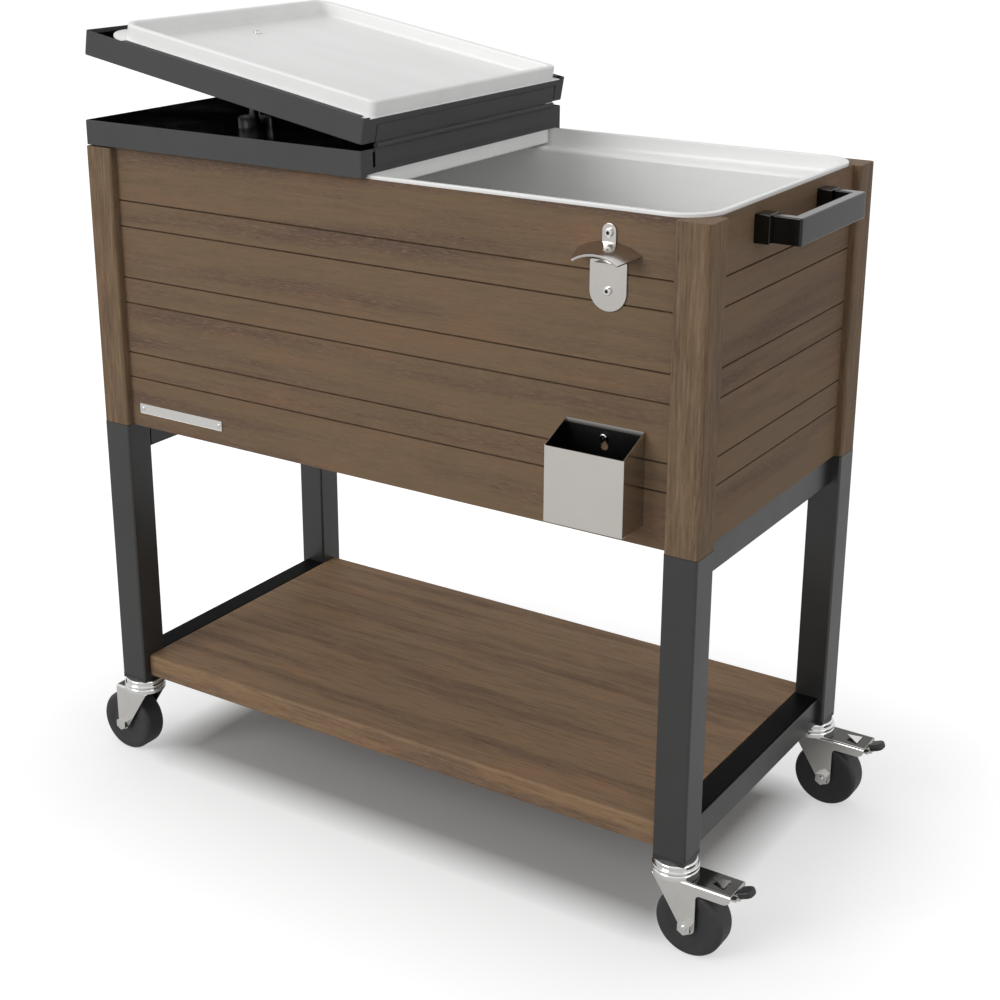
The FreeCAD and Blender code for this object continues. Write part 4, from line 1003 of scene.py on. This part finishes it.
# Each half is closed below by a moulded white liner: a flange on the pan's returned edge and a ridge that
# hangs into the tub's mouth. Foam fills the space between.
ridge_low, ridge_high = (-0.3845, -0.1915), (-0.0045, 0.1915)
ridge_depth, ridge_width = 0.0185, 0.008
ridge_level = flange_level - ridge_depth
lip_rounding, foot_rounding, floor_rounding = 0.0028, 0.0012, 0.004
flange = ((shell_low.x + liner_edge, shell_low.y + liner_edge),
          (shell_high.x - hinge_edge, shell_high.y - liner_edge), 0.052, 0.003)
ridge = (ridge_low, ridge_high, 0.024, 0.009)
hollow = ((ridge_low[0] + ridge_width, ridge_low[1] + ridge_width),
          (ridge_high[0] - ridge_width, ridge_high[1] - ridge_width), 0.016, 0.005)
course = ([(flange, 0.0, flange_level)] + onto_wall(ridge, foot_rounding, flange_level, -1)
          + from_wall(ridge, lip_rounding, ridge_level, 1) + onto_wall(hollow, lip_rounding, ridge_level, 1)
          + from_wall(hollow, floor_rounding, flange_level, -1))
liner = open_piece("liner")
add_course(course)
face_way(lambda middle, normal: near(middle.z, flange_level) and normal.z > 0)
close_piece()
add_wall(liner, liner_sheet)
both_halves("moulded_lid_liner", white_plastic, "liner_white", "lid_liner")


# The knobs are turned from black phenolic: a flat head on a round stem with a collar at its foot. A screw
# from inside the lid holds each one.
knob_finish, shader, place = new_finish("knob_phenolic")
cast = grain(place, 0.02, 0.02, 0, 3)
cast.blend(tone(16, 16, 17), tone(26, 26, 27)).into(shader, "Base Color")
(0.12 + 0.1 * cast).into(shader, "Roughness")
knob_low, knob_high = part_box("left_lid_knob")
knob_x, knob_radius = (knob_low.x + knob_high.x) / 2, (knob_high.x - knob_low.x) / 2
head_bottom, knob_rounding = knob_high.z - 0.014, 0.003
knob_stem_inset, knob_stem_length, collar = 0.0115, 0.012, 0.004
knob_stem_taper, collar_flare = 0.93, 1.15
open_piece("knob")
add_rod(knob_radius, (knob_x, 0, head_bottom), (knob_x, 0, knob_high.z), 64)
pick("EDGE", lambda middle, run: abs(run.z) < 0.1)
bpy.ops.mesh.bevel(offset=knob_rounding, segments=5, affect="EDGES")
pick("FACE", lambda middle, normal: lies_flat(normal) and normal.z < 0)
bpy.ops.mesh.inset(thickness=knob_stem_inset)
move_out((0, 0, -knob_stem_length))
bpy.ops.transform.resize(value=(knob_stem_taper, knob_stem_taper, 1), center_override=(knob_x, 0, 0))
move_out((0, 0, -collar))
bpy.ops.transform.resize(value=(collar_flare, collar_flare, 1), center_override=(knob_x, 0, 0))
close_piece()
both_halves("turned_lid_knob", knob_finish, "knob_black", "lid_knob")

screw_low, screw_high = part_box("left_lid_knob_screw")
knob_head_radius, knob_head_height, recess_depth = 0.005, 0.003, 0.0012
knob_screw = open_piece("knob_screw")
add_rod(knob_head_radius, (knob_x, 0, screw_low.z), (knob_x, 0, screw_low.z + knob_head_height), 32)
pick("EDGE", lambda middle, run: near(middle.z, screw_low.z))
bpy.ops.mesh.bevel(offset=0.0014, segments=4, affect="EDGES")
pick("FACE", lambda middle, normal: normal.z > 0.9)
bpy.ops.mesh.inset(thickness=0.0025)
move_out((0, 0, screw_high.z - screw_low.z - knob_head_height))
close_piece()
for half_x, half_y in ((0.0024, 0.0005), (0.0005, 0.0024)):
    cross = open_piece("cross_recess")
    add_block((knob_x - half_x, -half_y, screw_low.z - 0.001),
              (knob_x + half_x, half_y, screw_low.z + recess_depth))
    close_piece()
    cut_away(knob_screw, cross)
both_halves("pan_knob_screw", screw_steel, "fastener_steel", "lid_knob_screw")

use_finish(lid_paint, "left_hinge_leaf", "right_hinge_leaf", "hinge_pin")


# Four swivel casters. Each fork is pressed from zinc-plated sheet with a ball race on top; the right-hand
# pair runs on as an arm that carries the brake.
caster_zinc = steel_finish("bright_zinc_plate", tone(214, 212, 208), tone(200, 198, 194), 0.09, 2, 0.000003)
# The flat tops of the braked forks' arms get a dark steel: painted shade on the same zinc-plated sheet.
arm_top_painted_shade = steel_finish("arm_top_painted_shade_steel", tone(78, 77, 76), tone(60, 59, 58), 0.09, 0, 0.000003)
chrome = steel_finish("chrome_race", tone(224, 224, 223), tone(214, 214, 213), 0.03, 2, 0.000001)
fork_half, fork_sheet = 0.020, 0.002
fork_back, fork_front = -0.020, 0.035
foot_bottom, crown_top = 0.031, 0.0955
arm_reach, arm_bottom = 0.076, 0.083
axle_x, axle_z = 0.025, 0.041
race_radius, lower_race_top = 0.027, 0.101
window_x, window_radius, tongue_radius, tongue_rise = 0.0577, 0.0127, 0.0112, 0.0035


def round_cross_edge(x, z, radius, segments):
    """Rounds the edge that runs across a fork at one place."""
    pick("EDGE", lambda middle, run: abs(run.y) > 0.9 and near(middle.x, x) and near(middle.z, z))
    bpy.ops.mesh.bevel(offset=radius, segments=segments, affect="EDGES")


def add_triangle(radius, low, high):
    """Adds a three-sided rod at the arm's window, with one corner turned along the arm."""
    middle = (window_x, 0, crown_top)
    add_rod(radius, (window_x, 0, low), (window_x, 0, high), 3)
    bpy.ops.transform.rotate(value=math.radians(90), orient_axis="Z", center_override=middle)


def pressed_fork(name, braked):
    """The fork about its swivel axis, with the wheel towards +X."""
    fork = open_piece(name)
    add_block((fork_back, -fork_half, foot_bottom), (fork_front, fork_half, crown_top))
    bpy.ops.mesh.bisect(plane_co=(0.015, 0, axle_z), plane_no=(-0.0545, 0, -0.035), use_fill=True,
                        clear_outer=True)
    if braked:
        bpy.ops.mesh.select_all(action="SELECT")
        bpy.ops.mesh.bisect(plane_co=(0, 0, arm_bottom), plane_no=(0, 0, 1))
        pick("FACE", lambda middle, normal: normal.x > 0.9 and middle.z > arm_bottom)
        move_out((arm_reach - fork_front, 0, 0))
        round_cross_edge(fork_front, arm_bottom, 0.005, 5)
        round_cross_edge(arm_reach, arm_bottom, 0.009, 6)
    round_cross_edge(fork_front, foot_bottom, 0.0085, 6)
    pick("EDGE", lambda middle, run: abs(run.y) > 0.9 and middle.z < foot_bottom + 0.0001 and
         middle.x < axle_x - 0.001)
    bpy.ops.mesh.bevel(offset=0.0042, segments=5, affect="EDGES")
    pick("EDGE", lambda middle, run: abs(run.x) > 0.9 and near(middle.z, crown_top))
    bpy.ops.mesh.bevel(offset=0.0032, segments=4, affect="EDGES")
    pick("FACE", lambda middle, normal: abs(normal.y) < 0.05 and normal.z < 0.9)
    bpy.ops.mesh.delete(type="FACE")
    close_piece()
    add_wall(fork, fork_sheet)
    soften(fork, 0.0004, 2, 60)
    fork.data.materials.append(caster_zinc)
    if braked:
        window = open_piece("arm_window")
        add_triangle(window_radius, crown_top - 0.01, crown_top + 0.01)
        close_piece()
        cut_away(fork, window)
        fork.data.materials.append(arm_top_painted_shade)
        bpy.ops.object.mode_set(mode="EDIT")
        pick("FACE", lambda middle, normal: lies_flat(normal) and middle.z > crown_top - 0.0002)
        fork.active_material_index = 1
        bpy.ops.object.material_slot_assign()
        close_piece()
        tongue = open_piece("punched_tongue")
        add_triangle(tongue_radius, crown_top - 0.0005, crown_top + 0.0008)
        pick("VERT", lambda spot, normal: spot.x < window_x - 0.0017)
        bpy.ops.transform.translate(value=(0, 0, tongue_rise))
        close_piece()
        tongue.data.materials.append(caster_zinc)
        join((fork, tongue))
    race = open_piece("lower_race")
    add_rod(race_radius, (0, 0, crown_top - 0.001), (0, 0, lower_race_top), 64)
    pick("EDGE", lambda middle, run: near(middle.z, lower_race_top))
    bpy.ops.mesh.bevel(offset=0.0024, segments=5, affect="EDGES")
    close_piece()
    race.data.materials.append(chrome)
    return join((fork, race))


def to_corner(corner):
    """Where a caster goes: under its leg, and turned round on the left-hand side."""
    low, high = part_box(corner + "_leg")
    turn = half_turn if corner.endswith("left") else Matrix()
    return Matrix.Translation(((low.x + high.x) / 2, (low.y + high.y) / 2, 0)) @ turn


def copied(piece, name):
    """A copy of a piece under another name."""
    bpy.ops.object.select_all(action="DESELECT")
    piece.select_set(True)
    bpy.context.view_layer.objects.active = piece
    bpy.ops.object.duplicate()
    twin = bpy.context.object
    twin.name = twin.data.name = name
    return twin


plain_fork, braked_fork = pressed_fork("plain_fork", False), pressed_fork("braked_fork", True)
for corner in corners:
    model = braked_fork if corner.endswith("right") else plain_fork
    fork = turned(copied(model, corner + "_pressed_fork"), to_corner(corner))
    dress(fork, caster_zinc, corner + "_caster", "caster_zinc", corner + "_caster_fork")
bpy.data.objects.remove(plain_fork)
bpy.data.objects.remove(braked_fork)


# Under each leg the stem carries the upper race and a washer, turned from steel and chromed. The stem is
# pushed up into the leg's black end plug.
upper_race_low, upper_race_high, washer_top = 0.1013, 0.1055, 0.1115
washer_inset, stem_inset, stem_length = 0.0009, 0.0129, 0.0565
pin_inset, pin_length = 0.0182, 0.0117
stem_model = open_piece("stem_model")
add_rod(race_radius, (0, 0, upper_race_low), (0, 0, upper_race_high), 64)
pick("EDGE", lambda middle, run: abs(run.z) < 0.1)
bpy.ops.mesh.bevel(offset=0.0014, segments=4, affect="EDGES")
pick("FACE", lambda middle, normal: lies_flat(normal) and normal.z > 0)
bpy.ops.mesh.inset(thickness=washer_inset)
move_out((0, 0, washer_top - upper_race_high))
pick("EDGE", lambda middle, run: near(middle.z, washer_top))
bpy.ops.mesh.bevel(offset=0.0022, segments=5, affect="EDGES")
pick("FACE", lambda middle, normal: lies_flat(normal) and middle.z > washer_top - 0.0005)
bpy.ops.mesh.inset(thickness=stem_inset)
move_out((0, 0, stem_length))
pick("FACE", lambda middle, normal: lies_flat(normal) and normal.z < 0)
bpy.ops.mesh.inset(thickness=pin_inset)
move_out((0, 0, -pin_length))
close_piece()
stems = [turned(copied(stem_model, corner + "_stem"), to_corner(corner)) for corner in corners]
bpy.data.objects.remove(stem_model)
stem_races = join(stems)
stem_races.name = "caster_stem_races"
dress(stem_races, chrome, "cabinet", "caster_chrome", "caster_stems")
plug_plastic = plastic_finish("plug_plastic", tone(24, 24, 24), tone(32, 32, 32), 0.45)
use_finish(plug_plastic, "leg_plugs")


# The wheels are solid black rubber with a rounded tread, a shallow dish on each side and a raised hub.
# Each one turns between the cheeks of its fork.
rubber, shader, place = new_finish("wheel_rubber")
dust = grain(place, 0.012, 0.012, 0, 4).ramp(0.45, 0.8)
specks = grain(place, 0.0008, 0.0008, 0, 1)
dust.blend(tone(33, 33, 34), tone(44, 44, 44)).into(shader, "Base Color")
(0.52 + 0.15 * dust).into(shader, "Roughness")
bump(specks, 0.00005).into(shader, "Normal")
wheel_radius, wheel_half, tread_rounding = 0.041, 0.016, 0.006
dish = ((0.008, 0), (0.002, -0.0014), (0.0140, 0), (0.0006, 0.0031))
wheel_model = open_piece("wheel_model")
add_rod(wheel_radius, (axle_x, -wheel_half, axle_z), (axle_x, wheel_half, axle_z), 96)
pick("EDGE", lambda middle, run: abs(run.y) < 0.1)
bpy.ops.mesh.bevel(offset=tread_rounding, segments=6, affect="EDGES")
for side in (-1, 1):
    for inset, rise in dish:
        pick("FACE", lambda middle, normal: normal.y * side > 0.9 and near(middle.x, axle_x) and
             near(middle.z, axle_z))
        bpy.ops.mesh.inset(thickness=inset)
        bpy.ops.transform.translate(value=(0, side * rise, 0))
close_piece()
for corner in corners:
    wheel = turned(copied(wheel_model, corner + "_rubber_wheel"), to_corner(corner))
    dress(wheel, rubber, corner + "_wheel", "wheel_rubber", corner + "_caster_wheel")
bpy.data.objects.remove(wheel_model)


# Each wheel turns on a plated bolt through the fork's cheeks: its hexagon head is on one side, a nut and
# the bolt's end on the other.
bolt_radius, bolt_end, nut_radius, nut_top = 0.004, -0.0295, 0.0086, 0.0265
bolt_model = open_piece("bolt_model")
add_rod(bolt_radius, (axle_x, bolt_end, axle_z), (axle_x, fork_half + 0.001, axle_z), 32)
pick("EDGE", lambda middle, run: near(middle.y, bolt_end))
bpy.ops.mesh.bevel(offset=0.0008, segments=2, affect="EDGES")
for seat, top in ((fork_half, nut_top), (-fork_half, -nut_top)):
    add_rod(nut_radius, (axle_x, seat, axle_z), (axle_x, top, axle_z), 6)
    pick("FACE", lambda middle, normal: near(middle.y, top) and abs(normal.y) > 0.9)
    bpy.ops.mesh.inset(thickness=0.0011)
    bpy.ops.transform.translate(value=(0, math.copysign(0.0005, top), 0))
close_piece()
for corner in corners:
    bolt = turned(copied(bolt_model, corner + "_wheel_bolt"), to_corner(corner))
    dress(bolt, screw_steel, corner + "_caster", "fastener_steel", corner + "_caster_axle")
bpy.data.objects.remove(bolt_model)


# The brake lever is a steel blade under the arm with a shoe above the tyre. A black moulded pad is pushed
# onto its end and turns up for the foot.
pedal_plastic = plastic_finish("pedal_plastic", tone(26, 26, 26), tone(34, 34, 34), 0.42)
pivot_x, pivot_z = 0.034, 0.0865
pivot_radius, pivot_half = 0.004, 0.0177
blade_half, blade_low, blade_high = 0.011, pivot_z - 0.0015, pivot_z + 0.0015
neck_half, neck_top, shoe_low = 0.007, 0.0922, pivot_z - 0.0055
pad_start, pad_level, pad_tilt = 0.079, 0.092, math.radians(22)
pad_length, pad_half, pad_half_height = 0.0175, 0.009, 0.0042
lever_model = open_piece("lever_model")
add_rod(pivot_radius, (pivot_x, -pivot_half, pivot_z), (pivot_x, pivot_half, pivot_z), 24)
add_block((pivot_x, -blade_half, blade_low), (pad_start, blade_half, blade_high))
add_block((pad_start - 0.013, -neck_half, blade_low), (pad_start + 0.003, neck_half, neck_top))
add_block((pivot_x + 0.008, -blade_half, shoe_low), (pivot_x + 0.018, blade_half, blade_low))
close_piece()
soften(lever_model, 0.0006, 2, 50)
lever_model.data.materials.append(caster_zinc)
pad_model = open_piece("pad_model")
add_block((pad_start, -pad_half, pad_level - pad_half_height),
          (pad_start + pad_length, pad_half, pad_level + pad_half_height))
pick("EDGE", lambda middle, run: abs(run.z) > 0.9 and middle.x > pad_start + 0.01)
bpy.ops.mesh.bevel(offset=0.0075, segments=8, affect="EDGES")
close_piece()
soften(pad_model, 0.0026, 4, 50)
pad_model.data.materials.append(pedal_plastic)
pad_place = Matrix.Translation((pad_start, 0, pad_level))
turned(pad_model, pad_place @ Matrix.Rotation(-pad_tilt, 4, "Y") @ pad_place.inverted())
join((lever_model, pad_model))
for corner in ("front_right", "rear_right"):
    pedal = turned(copied(lever_model, corner + "_foot_brake"), to_corner(corner))
    dress(pedal, pedal_plastic, corner + "_brake", "pedal_black", corner + "_brake_pedal")
bpy.data.objects.remove(lever_model)
